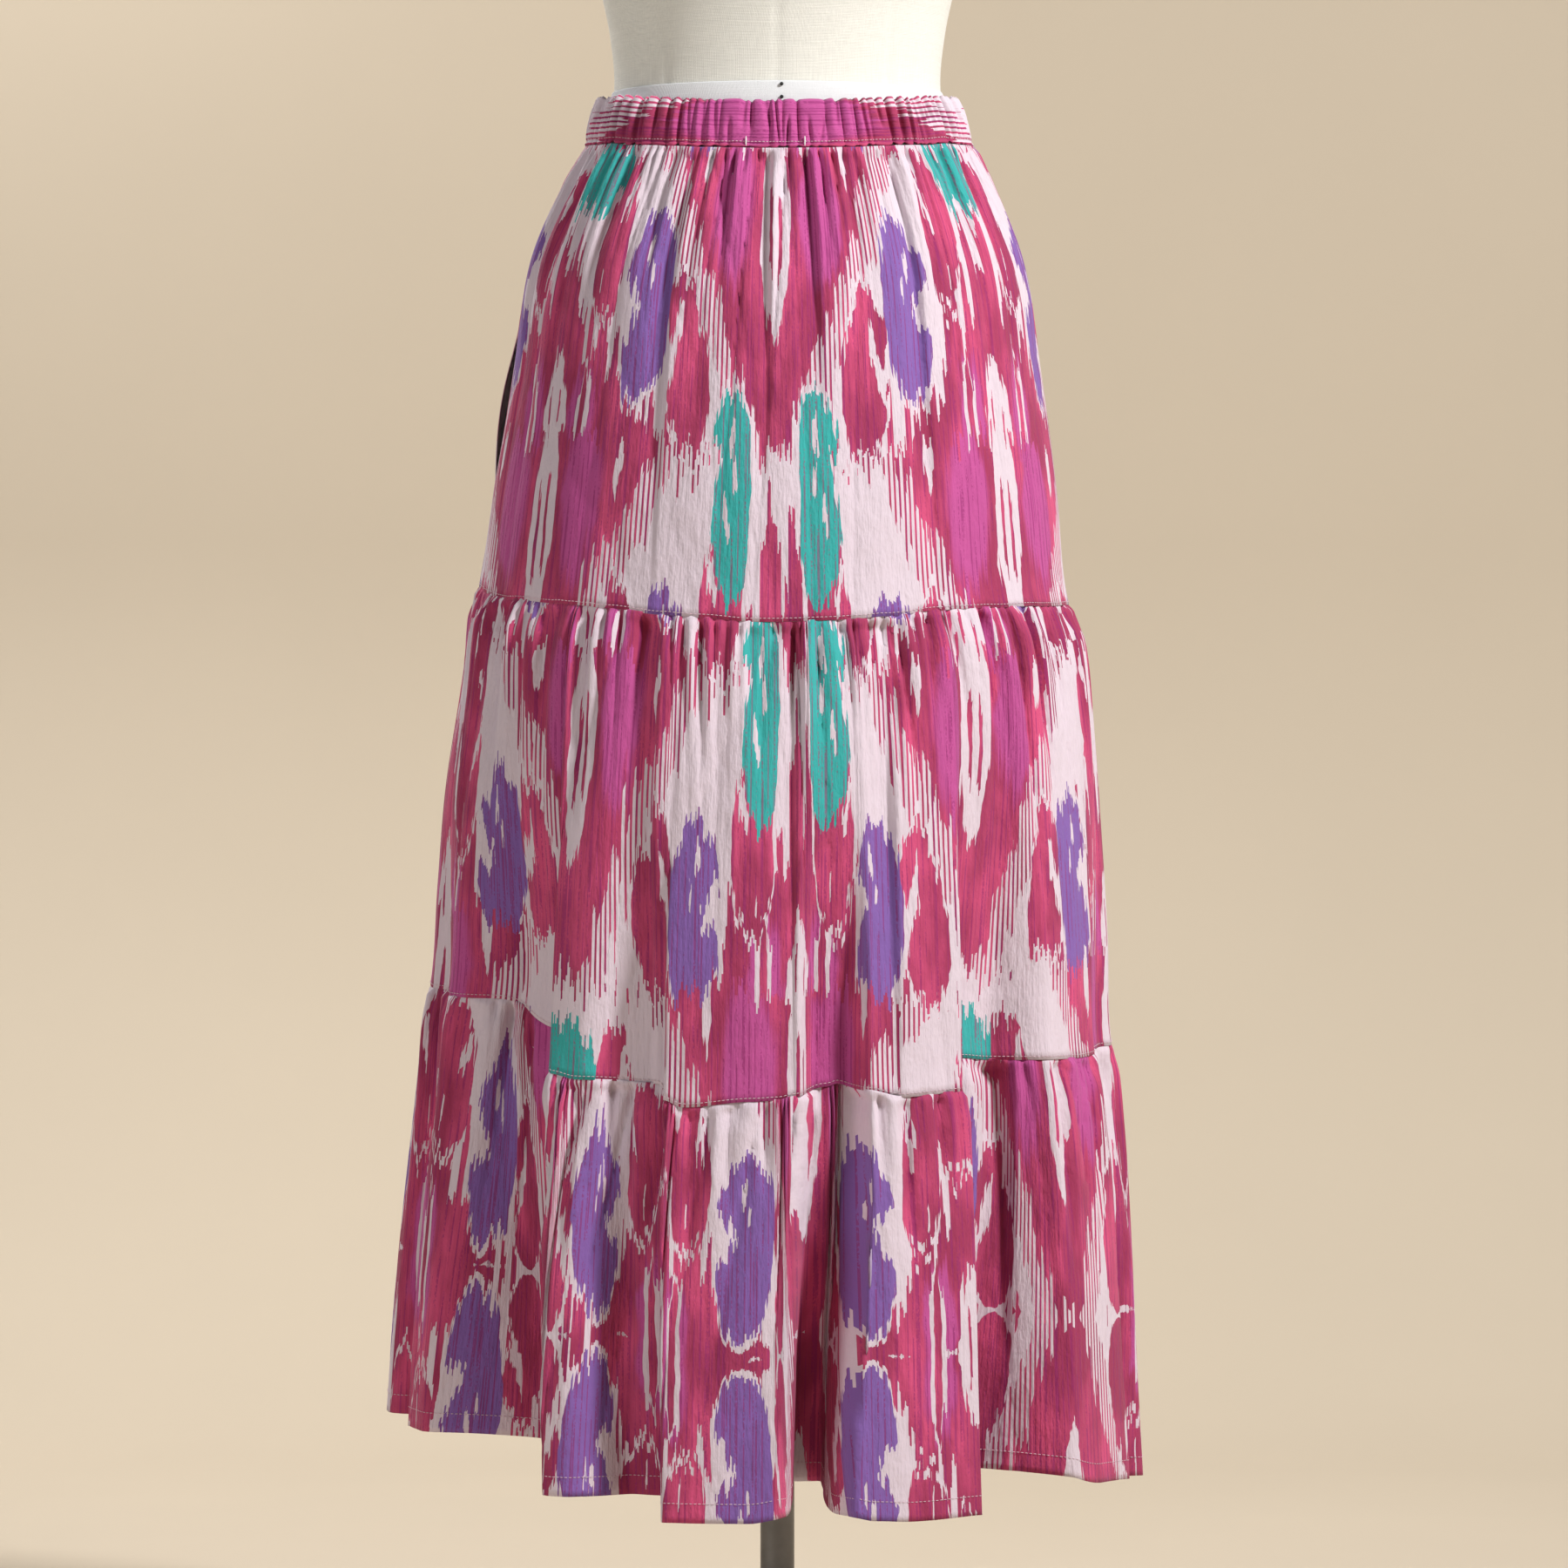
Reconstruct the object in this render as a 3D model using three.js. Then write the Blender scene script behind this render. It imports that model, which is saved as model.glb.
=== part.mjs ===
// A three-tier gathered skirt with an elastic waistband, worn on a limbless dress form on a pole stand.
// Millimetres, +Z up. The centre front faces -Y and the origin is the centre of the stand's underside.
// Angles run round the skirt in degrees: 0 is the centre front, 90 the side at +X, -90 the side at -X.
// Levels run down it: 0 is the waist seam, 1 the upper tier seam, 2 the lower tier seam, 3 the hem.
import * as THREE from "three";

// Driving sizes of the skirt
const BAND_TOP_Z = 1112;
const SEAM_Z = [1077, 750, 426, 145]; // at the centre front: waist seam, upper seam, lower seam, hem
const CLOTH = 1.4;
const BAND_WALL = 2.6;
const SEAM_GAP = 0.3;

// Driving sizes of the stand
const POLE_RADIUS = 12;
const BASE_RADIUS = 190;
const BASE_THICKNESS = 14;
const HUB_RADIUS = 30;
const HUB_TOP_Z = 46;
const TAPE_WALL = 1.2;
const TAPE_BOTTOM_Z = 1098;
const TAPE_TOP_Z = 1125;

// How finely the walls are divided
const PANEL_COLUMNS = 60;
const BAND_COLUMNS = 96;
const FORM_COLUMNS = 36;
const ROUND_SIDES = 36;

const rows = (names, values) =>
  values.map((row) => Object.fromEntries(names.map((name, i) => [name, row[i]])));

// Half-widths and half-depths of the skirt's outside, over the crests of its folds.
const GIRTHS = rows(
  ["level", "left", "right", "front", "back"],
  [
    [0.0, 135.5, 138.5, 102, 100],
    [0.25, 172.5, 173.5, 127, 132],
    [0.5, 186.5, 186.5, 142, 150],
    [0.75, 198.5, 196.5, 153, 161],
    [1.0, 210.5, 205.5, 163, 170],
    [1.1, 216.5, 214.5, 171, 177],
    [1.25, 222.5, 221.5, 178, 184],
    [1.5, 233.5, 227.5, 188, 193],
    [1.75, 239.5, 232.5, 196, 200],
    [2.0, 244.5, 235.5, 202, 206],
    [2.1, 249.5, 240.5, 208, 212],
    [2.25, 254.5, 245.5, 214, 218],
    [2.5, 262.5, 250.5, 223, 226],
    [2.75, 269.5, 253.5, 231, 233],
    [3.0, 274.5, 257.5, 237, 239],
  ],
);

// How far each seam and the hem are lifted round the skirt, from their height at the centre front.
const LIFTS = rows(
  ["angle", "waist", "upper", "lower", "hem"],
  [
    [-180, 0, 0, 0, 0],
    [-150, 3, 7, 14, 12],
    [-120, 8, 22, 48, 40],
    [-90, 10.5, 29, 73, 57],
    [-60, 8, 17.5, 66, 49],
    [-46, 5, 14, 47, 41],
    [-42.5, 4.5, 13, 41, 37],
    [-39, 4, 12, 17, 16],
    [-34, 3, 10, 13.5, 14.5],
    [-21, 1.3, 5, 11, 14],
    [-18.5, 1, 4, 1, 0],
    [-15, 0.7, 3, -4, 0],
    [-4, 0, 0, 0, 0],
    [0.5, 0, 0, 1, 3],
    [2.5, 0.1, 0.2, 3, 20],
    [9, 0.3, 1, 9, 20],
    [11, 0.4, 1.3, 11, 4],
    [15, 0.7, 2.3, 7, 1],
    [21, 1.3, 4, 2.5, 0],
    [33, 3, 8.5, 5.5, 2],
    [37.5, 4, 9.7, 27, 29],
    [46, 5, 11, 25, 26],
    [60, 8, 13, 25, 15],
    [90, 10.5, 16, 32, 9],
    [120, 8, 12, 20, 10],
    [150, 3, 4, 5, 6],
    [180, 0, 0, 0, 0],
  ],
);

// The deep flutes of the lower tiers: where each valley lies at the lower seam and at the hem, the level where
// it starts, how deep it is at both, its width in degrees to either side of its bottom, and how far that
// bottom leans sideways. A narrow side is a steep wall, so the lobe beside it seems to lie over the valley.
const FLUTES = rows(
  ["seamAngle", "hemAngle", "start", "seamDepth", "hemDepth", "leftWidth", "rightWidth", "lean"],
  [
    [-169, -168, 1.3, 14, 44, 12, 4, 10],
    [-147, -146, 1.2, 18, 58, 4, 13, -12],
    [-122, -123, 1.1, 24, 62, 12, 4, 12],
    [-101, -101, 1.3, 12, 44, 6, 9, 0],
    [-75, -75, 1.4, 7, 22, 6, 6, 0],
    [-43.5, -39, 1.05, 30, 72, 24, 4, 14],
    [-21.5, -19.5, 1.3, 13, 36, 12, 3.5, 9],
    [9.5, 5.8, 1.25, 26, 80, 6.4, 6.4, 0],
    [36.5, 36.5, 1.08, 28, 68, 4, 17, -14],
    [76, 78, 1.4, 7, 24, 7, 7, 0],
    [99, 100, 1.3, 12, 42, 6, 9, 0],
    [121, 122, 1.1, 24, 62, 4, 14, -12],
    [146, 147, 1.25, 16, 52, 10, 4, 11],
    [168, 168, 1.2, 24, 66, 5.5, 5.5, 0],
  ],
);

const FLOOR_SHARE = 0.45; // the share of a flute's width that is its floor
const UNDERCUT = 0.12; // how far a narrow side leans over the floor, as a share of the depth

// Each tier's gathers over half of the skirt, how far they stand and the share of the tier they run down.
const TIERS = rows(
  ["name", "gathers", "gatherDepth", "gatherRun"],
  [
    ["upper", 20, 2.6, 0.3],
    ["middle", 24, 3.4, 0.22],
    ["lower", 24, 3.6, 0.25],
  ],
);
const TIER_ROWS = [
  [0, 0.05, 0.14, 0.27, 0.42, 0.6, 0.77, 0.88, 1],
  [0, 0.06, 0.16, 0.34, 0.56, 0.78, 1],
  [0, 0.06, 0.16, 0.34, 0.56, 0.78, 1],
];
const BAND_GATHERS = 48;
const BAND_GATHER_DEPTH = 1.3;

// The inside of the waistband at its foot and at its top.
const BAND_INSIDE = rows(
  ["share", "left", "right", "front", "back"],
  [
    [0, 132, 134.5, 97.5, 96.5],
    [1, 123.2, 122.7, 89.9, 90.4],
  ],
);

// The in-seam pocket at the -X side: the levels of its mouth and the foot of its bag.
const POCKET = { top: 0.42, bottom: 0.77, bagFoot: 0.92, gapeBack: 7, gapeFront: 1.5, spread: 22, bagColumns: 16 };
const POCKET_WALL = 2;
const POCKET_CLEARANCE = 0.5;

// The dress form's half-widths and half-depths at each height.
const FORM = rows(
  ["z", "side", "front", "back"],
  [
    [860, 146, 98, 104],
    [874, 156, 106, 113],
    [925, 165, 115, 124],
    [985, 158, 112, 120],
    [1040, 139, 102, 107],
    [1080, 123.5, 93, 95],
    [1111, 117, 88, 88.5],
    [1128, 115, 86.5, 87],
    [1165, 118, 88, 90],
    [1215, 129, 98, 96],
    [1262, 139, 114, 100],
    [1300, 146, 122, 103],
    [1345, 153, 113, 106],
    [1395, 163, 96, 104],
    [1440, 172, 81, 94],
    [1470, 168, 69, 82],
    [1492, 142, 60, 71],
    [1508, 106, 54, 63],
    [1524, 73, 50, 57],
    [1546, 57, 47, 52],
    [1586, 53, 44, 49],
    [1593, 47, 38, 43],
  ],
);

const radians = THREE.MathUtils.degToRad;
const lerp = THREE.MathUtils.lerp;
const smooth = (x) => THREE.MathUtils.smoothstep(x, 0, 1);

// A table's column at a key, straight or eased between its rows.
function lookUp(table, key, at, column, ease = (x) => x) {
  let i = 0;
  while (i < table.length - 2 && table[i + 1][key] < at) i += 1;
  const [a, b] = [table[i], table[i + 1]];
  const share = THREE.MathUtils.clamp((at - a[key]) / (b[key] - a[key]), 0, 1);
  return lerp(a[column], b[column], ease(share));
}

// A point and its outward normal on an outline of four quarter ellipses.
function quarterEllipses(angle, left, right, front, back) {
  const [s, c] = [Math.sin(radians(angle)), Math.cos(radians(angle))];
  const across = s < 0 ? left : right;
  const along = c > 0 ? front : back;
  return {
    point: new THREE.Vector2(across * s, -along * c),
    normal: new THREE.Vector2(s / across, -c / along).normalize(),
  };
}

function girthAt(level, angle) {
  const size = ["left", "right", "front", "back"].map((side) => lookUp(GIRTHS, "level", level, side));
  return quarterEllipses(angle, ...size);
}

// How far in the flutes press the outline, and how far sideways.
function fluteAt(level, angle) {
  let [inward, sideways] = [0, 0];
  for (const flute of FLUTES) {
    const toHem = THREE.MathUtils.clamp(level - 2, 0, 1);
    const centre = lerp(flute.seamAngle, flute.hemAngle, toHem);
    const turn = THREE.MathUtils.euclideanModulo(angle - centre + 180, 360) - 180;
    const width = turn < 0 ? flute.leftWidth : flute.rightWidth;
    const away = Math.abs(turn) / width;
    if (away >= 1) continue;
    const begun = smooth((level - flute.start) / (2 - flute.start));
    const depth = level < 2 ? begun * flute.seamDepth : lerp(flute.seamDepth, flute.hemDepth, toHem);
    const press = 1 - smooth((away - FLOOR_SHARE) / (1 - FLOOR_SHARE));
    const overhang = UNDERCUT * toHem * 4 * press * (1 - press) * Math.min(1, 5 / width) ** 2;
    inward += depth * press;
    sideways += (flute.lean * depth * press) / flute.hemDepth - Math.sign(turn) * depth * overhang;
  }
  return { inward, sideways };
}

// The skirt's outline at a level: its girth, pressed in by the flutes.
function outlineAt(level, angle) {
  const { point, normal } = girthAt(level, angle);
  const { inward, sideways } = fluteAt(level, angle);
  const tangent = new THREE.Vector2(-normal.y, normal.x);
  return point.addScaledVector(normal, -inward).addScaledVector(tangent, sideways);
}

// The outward normal of that outline, from two points close on either side.
function outlineNormal(level, angle) {
  const step = 0.25;
  const along = outlineAt(level, angle + step).sub(outlineAt(level, angle - step));
  return new THREE.Vector2(along.y, -along.x).normalize();
}

// The height of a level: between two seams in proportion, each seam lifted as its own table says.
function heightAt(level, angle) {
  const columns = ["waist", "upper", "lower", "hem"];
  const seam = Math.min(Math.floor(level), 2);
  const ends = [seam, seam + 1].map((k) => SEAM_Z[k] + lookUp(LIFTS, "angle", angle, columns[k], smooth));
  return lerp(ends[0], ends[1], level - seam);
}

// The angles that divide the hem from one side to the other into equal lengths of cloth.
function columnAngles(from, to) {
  const fine = 720;
  const angles = Array.from({ length: fine + 1 }, (_, i) => lerp(from, to, i / fine));
  const lengths = [0];
  for (let i = 1; i <= fine; i += 1)
    lengths.push(lengths[i - 1] + outlineAt(3, angles[i]).distanceTo(outlineAt(3, angles[i - 1])));
  const found = [];
  let i = 0;
  for (let k = 0; k <= PANEL_COLUMNS; k += 1) {
    const wanted = (lengths[fine] * k) / PANEL_COLUMNS;
    while (i < fine - 1 && lengths[i + 1] < wanted) i += 1;
    found.push(lerp(angles[i], angles[i + 1], (wanted - lengths[i]) / (lengths[i + 1] - lengths[i])));
  }
  return found;
}

// How far the gathers stand out: nothing at the stitching, most just under it, fading down the tier.
function gatherAt(tier, share, column) {
  const reach = Math.min(1, share * 18) * Math.exp(-share / tier.gatherRun);
  const uneven = 1 + 0.3 * Math.sin(column * 2.4);
  return tier.gatherDepth * reach * uneven * Math.cos((2 * Math.PI * tier.gathers * column) / PANEL_COLUMNS);
}

// A closed wall between an outer and an inner grid of points, which run round from row to row, foot to top.
function wall(outer, inner, closed) {
  const [rowCount, columnCount] = [outer.length, outer[0].length];
  const points = [...outer.flat(), ...inner.flat()];
  const innerStart = rowCount * columnCount;
  const at = (row, column, side) => side * innerStart + row * columnCount + (column % columnCount);
  const faces = [];
  const quad = (a, b, c, d) => faces.push(a, b, c, a, c, d);
  const last = rowCount - 1;
  for (let c = 0; c < (closed ? columnCount : columnCount - 1); c += 1) {
    for (let r = 0; r < last; r += 1) {
      quad(at(r, c, 0), at(r, c + 1, 0), at(r + 1, c + 1, 0), at(r + 1, c, 0));
      quad(at(r, c + 1, 1), at(r, c, 1), at(r + 1, c, 1), at(r + 1, c + 1, 1));
    }
    quad(at(0, c + 1, 0), at(0, c, 0), at(0, c, 1), at(0, c + 1, 1));
    quad(at(last, c + 1, 0), at(last, c + 1, 1), at(last, c, 1), at(last, c, 0));
  }
  const end = columnCount - 1;
  for (let r = 0; r < last && !closed; r += 1) {
    quad(at(r, 0, 1), at(r, 0, 0), at(r + 1, 0, 0), at(r + 1, 0, 1));
    quad(at(r, end, 0), at(r, end, 1), at(r + 1, end, 1), at(r + 1, end, 0));
  }
  return fromPoints(points, faces);
}

// A solid through closed rings of points, foot to top, with flat ends.
function loft(rings) {
  const count = rings[0].length;
  const middle = (ring) => ring.reduce((sum, p) => sum.add(p), new THREE.Vector3()).divideScalar(count);
  const points = [...rings.flat(), middle(rings[0]), middle(rings.at(-1))];
  const [foot, top] = [points.length - 2, points.length - 1];
  const topStart = (rings.length - 1) * count;
  const faces = [];
  for (let c = 0; c < count; c += 1) {
    const next = (c + 1) % count;
    for (let r = 0; r < rings.length - 1; r += 1) {
      const [a, b] = [r * count + c, r * count + next];
      faces.push(a, b, b + count, a, b + count, a + count);
    }
    faces.push(foot, next, c, top, topStart + c, topStart + next);
  }
  return fromPoints(points, faces);
}

function fromPoints(points, faces) {
  const geometry = new THREE.BufferGeometry().setFromPoints(points);
  geometry.setIndex(faces);
  geometry.computeVertexNormals();
  return geometry;
}

// The mouth of the pocket: the back edge stands out and the front edge lies in, most at mid-height.
function pocketGape(level, angle, isBack) {
  const share = (level - POCKET.top) / (POCKET.bottom - POCKET.top);
  const away = Math.abs(angle + 90) / POCKET.spread;
  if (share <= 0 || share >= 1 || away >= 1) return 0;
  const gape = Math.sin(Math.PI * share) * (1 - smooth(away));
  return gape * (isBack ? POCKET.gapeBack : -POCKET.gapeFront);
}

// One point of a panel's cloth, standing `out` from the skirt's outline.
function clothPoint(level, angle, out, z) {
  const flat = outlineAt(level, angle).addScaledVector(outlineNormal(level, angle), out);
  return new THREE.Vector3(flat.x, flat.y, z);
}

// The front panel runs from the -X side seam to the +X one, and the back panel on round to the -X one.
function panelAngles(isBack) {
  if (!isBack) return columnAngles(-90, 90);
  return [...columnAngles(90, 180), ...columnAngles(-180, -90).slice(1)].filter((_, i) => i % 2 === 0);
}

const PANELS = { front: panelAngles(false), back: panelAngles(true) };

// Half of a tier: one panel of cloth between two side seams.
function tierPanel(tierIndex, half) {
  const tier = TIERS[tierIndex];
  const isBack = half === "back";
  const angles = PANELS[half];
  const [outer, inner] = [[], []];
  for (const share of [...TIER_ROWS[tierIndex]].reverse()) {
    const level = tierIndex + share;
    const [outerRow, innerRow] = [[], []];
    angles.forEach((angle, column) => {
      const out = gatherAt(tier, share, column) + pocketGape(level, angle, isBack);
      const seamed = heightAt(level, angle) + (share === 1 && tierIndex < 2 ? SEAM_GAP : 0);
      outerRow.push(clothPoint(level, angle, out, seamed));
      innerRow.push(clothPoint(level, angle, out - CLOTH, seamed));
    });
    for (const row of [outerRow, innerRow]) shortenForSideSeams(row);
    outer.push(outerRow);
    inner.push(innerRow);
  }
  return wall(outer, inner, false);
}

// Draws a row's two ends back from the side seams by half of the seam's gap.
function shortenForSideSeams(row) {
  for (const [end, next] of [[0, 1], [row.length - 1, row.length - 2]]) {
    const length = row[end].distanceTo(row[next]);
    row[end].lerp(row[next].clone(), SEAM_GAP / 2 / length);
  }
}

// The casing of the elastic: a plain inside, with gathers standing on its outside.
function waistband() {
  const shares = [0, 0.1, 0.5, 0.9, 1];
  const bulge = [-0.5, 0, 0.9, 0, -0.7];
  const angles = Array.from({ length: BAND_COLUMNS }, (_, i) => -180 + (360 * i) / BAND_COLUMNS);
  const [outer, inner] = [[], []];
  shares.forEach((share, r) => {
    const z = lerp(SEAM_Z[0] + SEAM_GAP, BAND_TOP_Z, share);
    const [outerRow, innerRow] = [[], []];
    angles.forEach((angle, i) => {
      const size = ["left", "right", "front", "back"].map((side) => lookUp(BAND_INSIDE, "share", share, side));
      const { point, normal } = quarterEllipses(angle, ...size);
      const lifted = z + lookUp(LIFTS, "angle", angle, "waist", smooth);
      const gather = BAND_GATHER_DEPTH * Math.cos((2 * Math.PI * BAND_GATHERS * i) / BAND_COLUMNS);
      const out = point.clone().addScaledVector(normal, BAND_WALL + bulge[r] + gather);
      innerRow.push(new THREE.Vector3(point.x, point.y, lifted));
      outerRow.push(new THREE.Vector3(out.x, out.y, lifted));
    });
    outer.push(outerRow);
    inner.push(innerRow);
  });
  return wall(outer, inner, true);
}

// The pocket's bag: both layers in one pad, just inside the front panel and as curved as it is.
function pocketBag() {
  const levels = [POCKET.bagFoot, POCKET.bottom, lerp(POCKET.bottom, POCKET.top, 0.5), POCKET.top];
  const reach = [0.55, 0.85, 1, 0.7];
  const angles = PANELS.front;
  const depth = CLOTH + POCKET_CLEARANCE;
  const columns = POCKET.bagColumns;
  const [outer, inner] = [[], []];
  levels.forEach((level, r) => {
    const [outerRow, innerRow] = [[], []];
    for (let c = 0; c <= columns; c += 1) {
      const at = (c / columns) * reach[r] * columns;
      const column = Math.min(Math.floor(at), columns - 1);
      const angle = lerp(angles[column], angles[column + 1], at - column);
      const out = pocketGape(level, angle, false) - depth - gatherSlack(level);
      outerRow.push(clothPoint(level, angle, out, heightAt(level, angle)));
      innerRow.push(clothPoint(level, angle, out - POCKET_WALL, heightAt(level, angle)));
    }
    outer.push(outerRow);
    inner.push(innerRow);
  });
  return wall(outer, inner, false);
}

// The most that the upper tier's gathers reach inwards at a level.
function gatherSlack(share) {
  const tier = TIERS[0];
  return 1.3 * tier.gatherDepth * Math.exp(-share / tier.gatherRun);
}

function formRing(z, out) {
  const size = ["side", "front", "back"].map((side) => lookUp(FORM, "z", z, side) + out);
  return Array.from({ length: FORM_COLUMNS }, (_, i) => {
    const angle = -180 + (360 * i) / FORM_COLUMNS;
    const { point } = quarterEllipses(angle, size[0], size[0], size[1], size[2]);
    return new THREE.Vector3(point.x, point.y, z);
  });
}

const dressForm = () => loft(FORM.map((section) => formRing(section.z, 0)));

// The cotton tape round the form's waist, a little of which the waistband covers.
function waistTape() {
  const heights = [TAPE_BOTTOM_Z, 1111, TAPE_TOP_Z];
  const inside = heights.map((z) => formRing(z, SEAM_GAP));
  const outside = heights.map((z) => formRing(z, SEAM_GAP + TAPE_WALL));
  return wall(outside, inside, true);
}

// A turned solid: its profile of [radius, height] pairs starts and ends on the axis.
function turned(profile) {
  const points = profile.map(([r, z]) => new THREE.Vector2(r, z));
  return new THREE.LatheGeometry(points, ROUND_SIDES).rotateX(Math.PI / 2);
}

const standBase = () =>
  turned([
    [0, 0],
    [BASE_RADIUS - 4, 0],
    [BASE_RADIUS, 4],
    [BASE_RADIUS - 3, BASE_THICKNESS - 3],
    [HUB_RADIUS + 22, BASE_THICKNESS + 4],
    [HUB_RADIUS, BASE_THICKNESS + 16],
    [HUB_RADIUS - 4, HUB_TOP_Z],
    [0, HUB_TOP_Z],
  ]);

const standPole = () =>
  turned([
    [0, HUB_TOP_Z + SEAM_GAP],
    [POLE_RADIUS, HUB_TOP_Z + SEAM_GAP],
    [POLE_RADIUS, FORM[0].z - SEAM_GAP],
    [0, FORM[0].z - SEAM_GAP],
  ]);

const cotton = new THREE.MeshStandardMaterial({ color: 0xc4386e, roughness: 0.85, metalness: 0 });
const bandCotton = new THREE.MeshStandardMaterial({ color: 0xb9468f, roughness: 0.85, metalness: 0 });
const linen = new THREE.MeshStandardMaterial({ color: 0xe6e0cf, roughness: 0.9, metalness: 0 });
const whiteTape = new THREE.MeshStandardMaterial({ color: 0xf2f1f2, roughness: 0.8, metalness: 0 });
const steel = new THREE.MeshStandardMaterial({ color: 0x5f5d5c, roughness: 0.35, metalness: 0.9 });

const skirtOnForm = new THREE.Group();

function add(name, geometry, material) {
  const mesh = new THREE.Mesh(geometry, material);
  mesh.name = name;
  skirtOnForm.add(mesh);
}

add("stand_base", standBase(), steel);
add("stand_pole", standPole(), steel);
add("dress_form", dressForm(), linen);
add("waist_tape", waistTape(), whiteTape);
add("waistband", waistband(), bandCotton);
TIERS.forEach((tier, i) => {
  add(`${tier.name}_tier_front`, tierPanel(i, "front"), cotton);
  add(`${tier.name}_tier_back`, tierPanel(i, "back"), cotton);
});
add("pocket_bag", pocketBag(), cotton);

export default skirtOnForm;
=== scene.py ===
"""Dresses a tiered ikat skirt on a linen dress form: cloth, stitching, tape, stand, light and camera."""

import bpy
import numpy as np
from bpy.props import FloatProperty, FloatVectorProperty, IntProperty, PointerProperty
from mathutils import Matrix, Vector


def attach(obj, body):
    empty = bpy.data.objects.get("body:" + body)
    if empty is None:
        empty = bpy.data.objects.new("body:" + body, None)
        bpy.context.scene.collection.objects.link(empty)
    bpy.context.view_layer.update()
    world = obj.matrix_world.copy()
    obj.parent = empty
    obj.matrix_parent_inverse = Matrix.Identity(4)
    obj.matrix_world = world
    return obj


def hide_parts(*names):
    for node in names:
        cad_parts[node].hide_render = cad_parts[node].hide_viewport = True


bl_info = {
    "name": "Tiered skirt on a dress form",
    "version": (1, 0, 0),
    "blender": (4, 5, 0),
    "location": "3D View > Sidebar > Skirt",
    "description": "Makes the cloth, stitching, form, stand and studio of a tiered ikat skirt",
    "category": "Object",
}

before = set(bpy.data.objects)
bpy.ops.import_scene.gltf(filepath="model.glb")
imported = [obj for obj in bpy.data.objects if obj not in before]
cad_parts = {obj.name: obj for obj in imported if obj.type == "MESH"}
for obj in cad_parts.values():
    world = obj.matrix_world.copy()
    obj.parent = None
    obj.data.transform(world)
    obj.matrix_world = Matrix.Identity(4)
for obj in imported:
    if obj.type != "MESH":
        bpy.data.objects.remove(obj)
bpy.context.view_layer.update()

TIERS = ("upper", "middle", "lower")

# Angles run round the skirt in degrees from the centre front at -Y; 90 is the side at +X.
# Levels run down it: 0 is the waist seam, 1 the upper tier seam, 2 the lower tier seam, 3 the hem.
# All lengths in these tables are in millimetres; MILLIMETRES scales an axis from Blender's metres.
MILLIMETRES = (1000.0, 1000.0, 1000.0)
BAND_TOP_Z, BAND_ROUND, BAND_TUCKS = 1112.0, 760.0, 92  # the band's top, its girth and its creases
# the casing's half-width to the left and right and its half-depth to the front and back, at foot and top
BAND_INSIDE = [(132, 123.2), (134.5, 122.7), (97.5, 89.9), (96.5, 90.4)]
SEAM_Z = np.array([1077.0, 750.0, 426.0, 145.0])

# level, then the half-width to the left and right and the half-depth to the front and back
GIRTHS = np.array([
    [0.0, 135.5, 138.5, 102, 100],
    [0.25, 172.5, 173.5, 127, 132],
    [0.5, 186.5, 186.5, 142, 150],
    [0.75, 198.5, 196.5, 153, 161],
    [1.0, 210.5, 205.5, 163, 170],
    [1.1, 216.5, 214.5, 171, 177],
    [1.25, 222.5, 221.5, 178, 184],
    [1.5, 233.5, 227.5, 188, 193],
    [1.75, 239.5, 232.5, 196, 200],
    [2.0, 244.5, 235.5, 202, 206],
    [2.1, 249.5, 240.5, 208, 212],
    [2.25, 254.5, 245.5, 214, 218],
    [2.5, 262.5, 250.5, 223, 226],
    [2.75, 269.5, 253.5, 231, 233],
    [3.0, 274.5, 257.5, 237, 239],
])

# angle, then how far the waist seam, the upper seam, the lower seam and the hem are lifted there
LIFTS = np.array([
    [-180, 0, 0, 0, 0],
    [-150, 3, 7, 14, 12],
    [-120, 8, 22, 48, 40],
    [-90, 10.5, 29, 73, 57],
    [-60, 8, 17.5, 66, 49],
    [-46, 5, 14, 47, 41],
    [-42.5, 4.5, 13, 41, 37],
    [-39, 4, 12, 17, 16],
    [-34, 3, 10, 13.5, 14.5],
    [-21, 1.3, 5, 11, 14],
    [-18.5, 1, 4, 1, 0],
    [-15, 0.7, 3, -4, 0],
    [-4, 0, 0, 0, 0],
    [0.5, 0, 0, 1, 3],
    [2.5, 0.1, 0.2, 3, 20],
    [9, 0.3, 1, 9, 20],
    [11, 0.4, 1.3, 11, 4],
    [15, 0.7, 2.3, 7, 1],
    [21, 1.3, 4, 2.5, 0],
    [33, 3, 8.5, 5.5, 2],
    [37.5, 4, 9.7, 27, 29],
    [46, 5, 11, 25, 26],
    [60, 8, 13, 25, 15],
    [90, 10.5, 16, 32, 9],
    [120, 8, 12, 20, 10],
    [150, 3, 4, 5, 6],
    [180, 0, 0, 0, 0],
])

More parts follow.
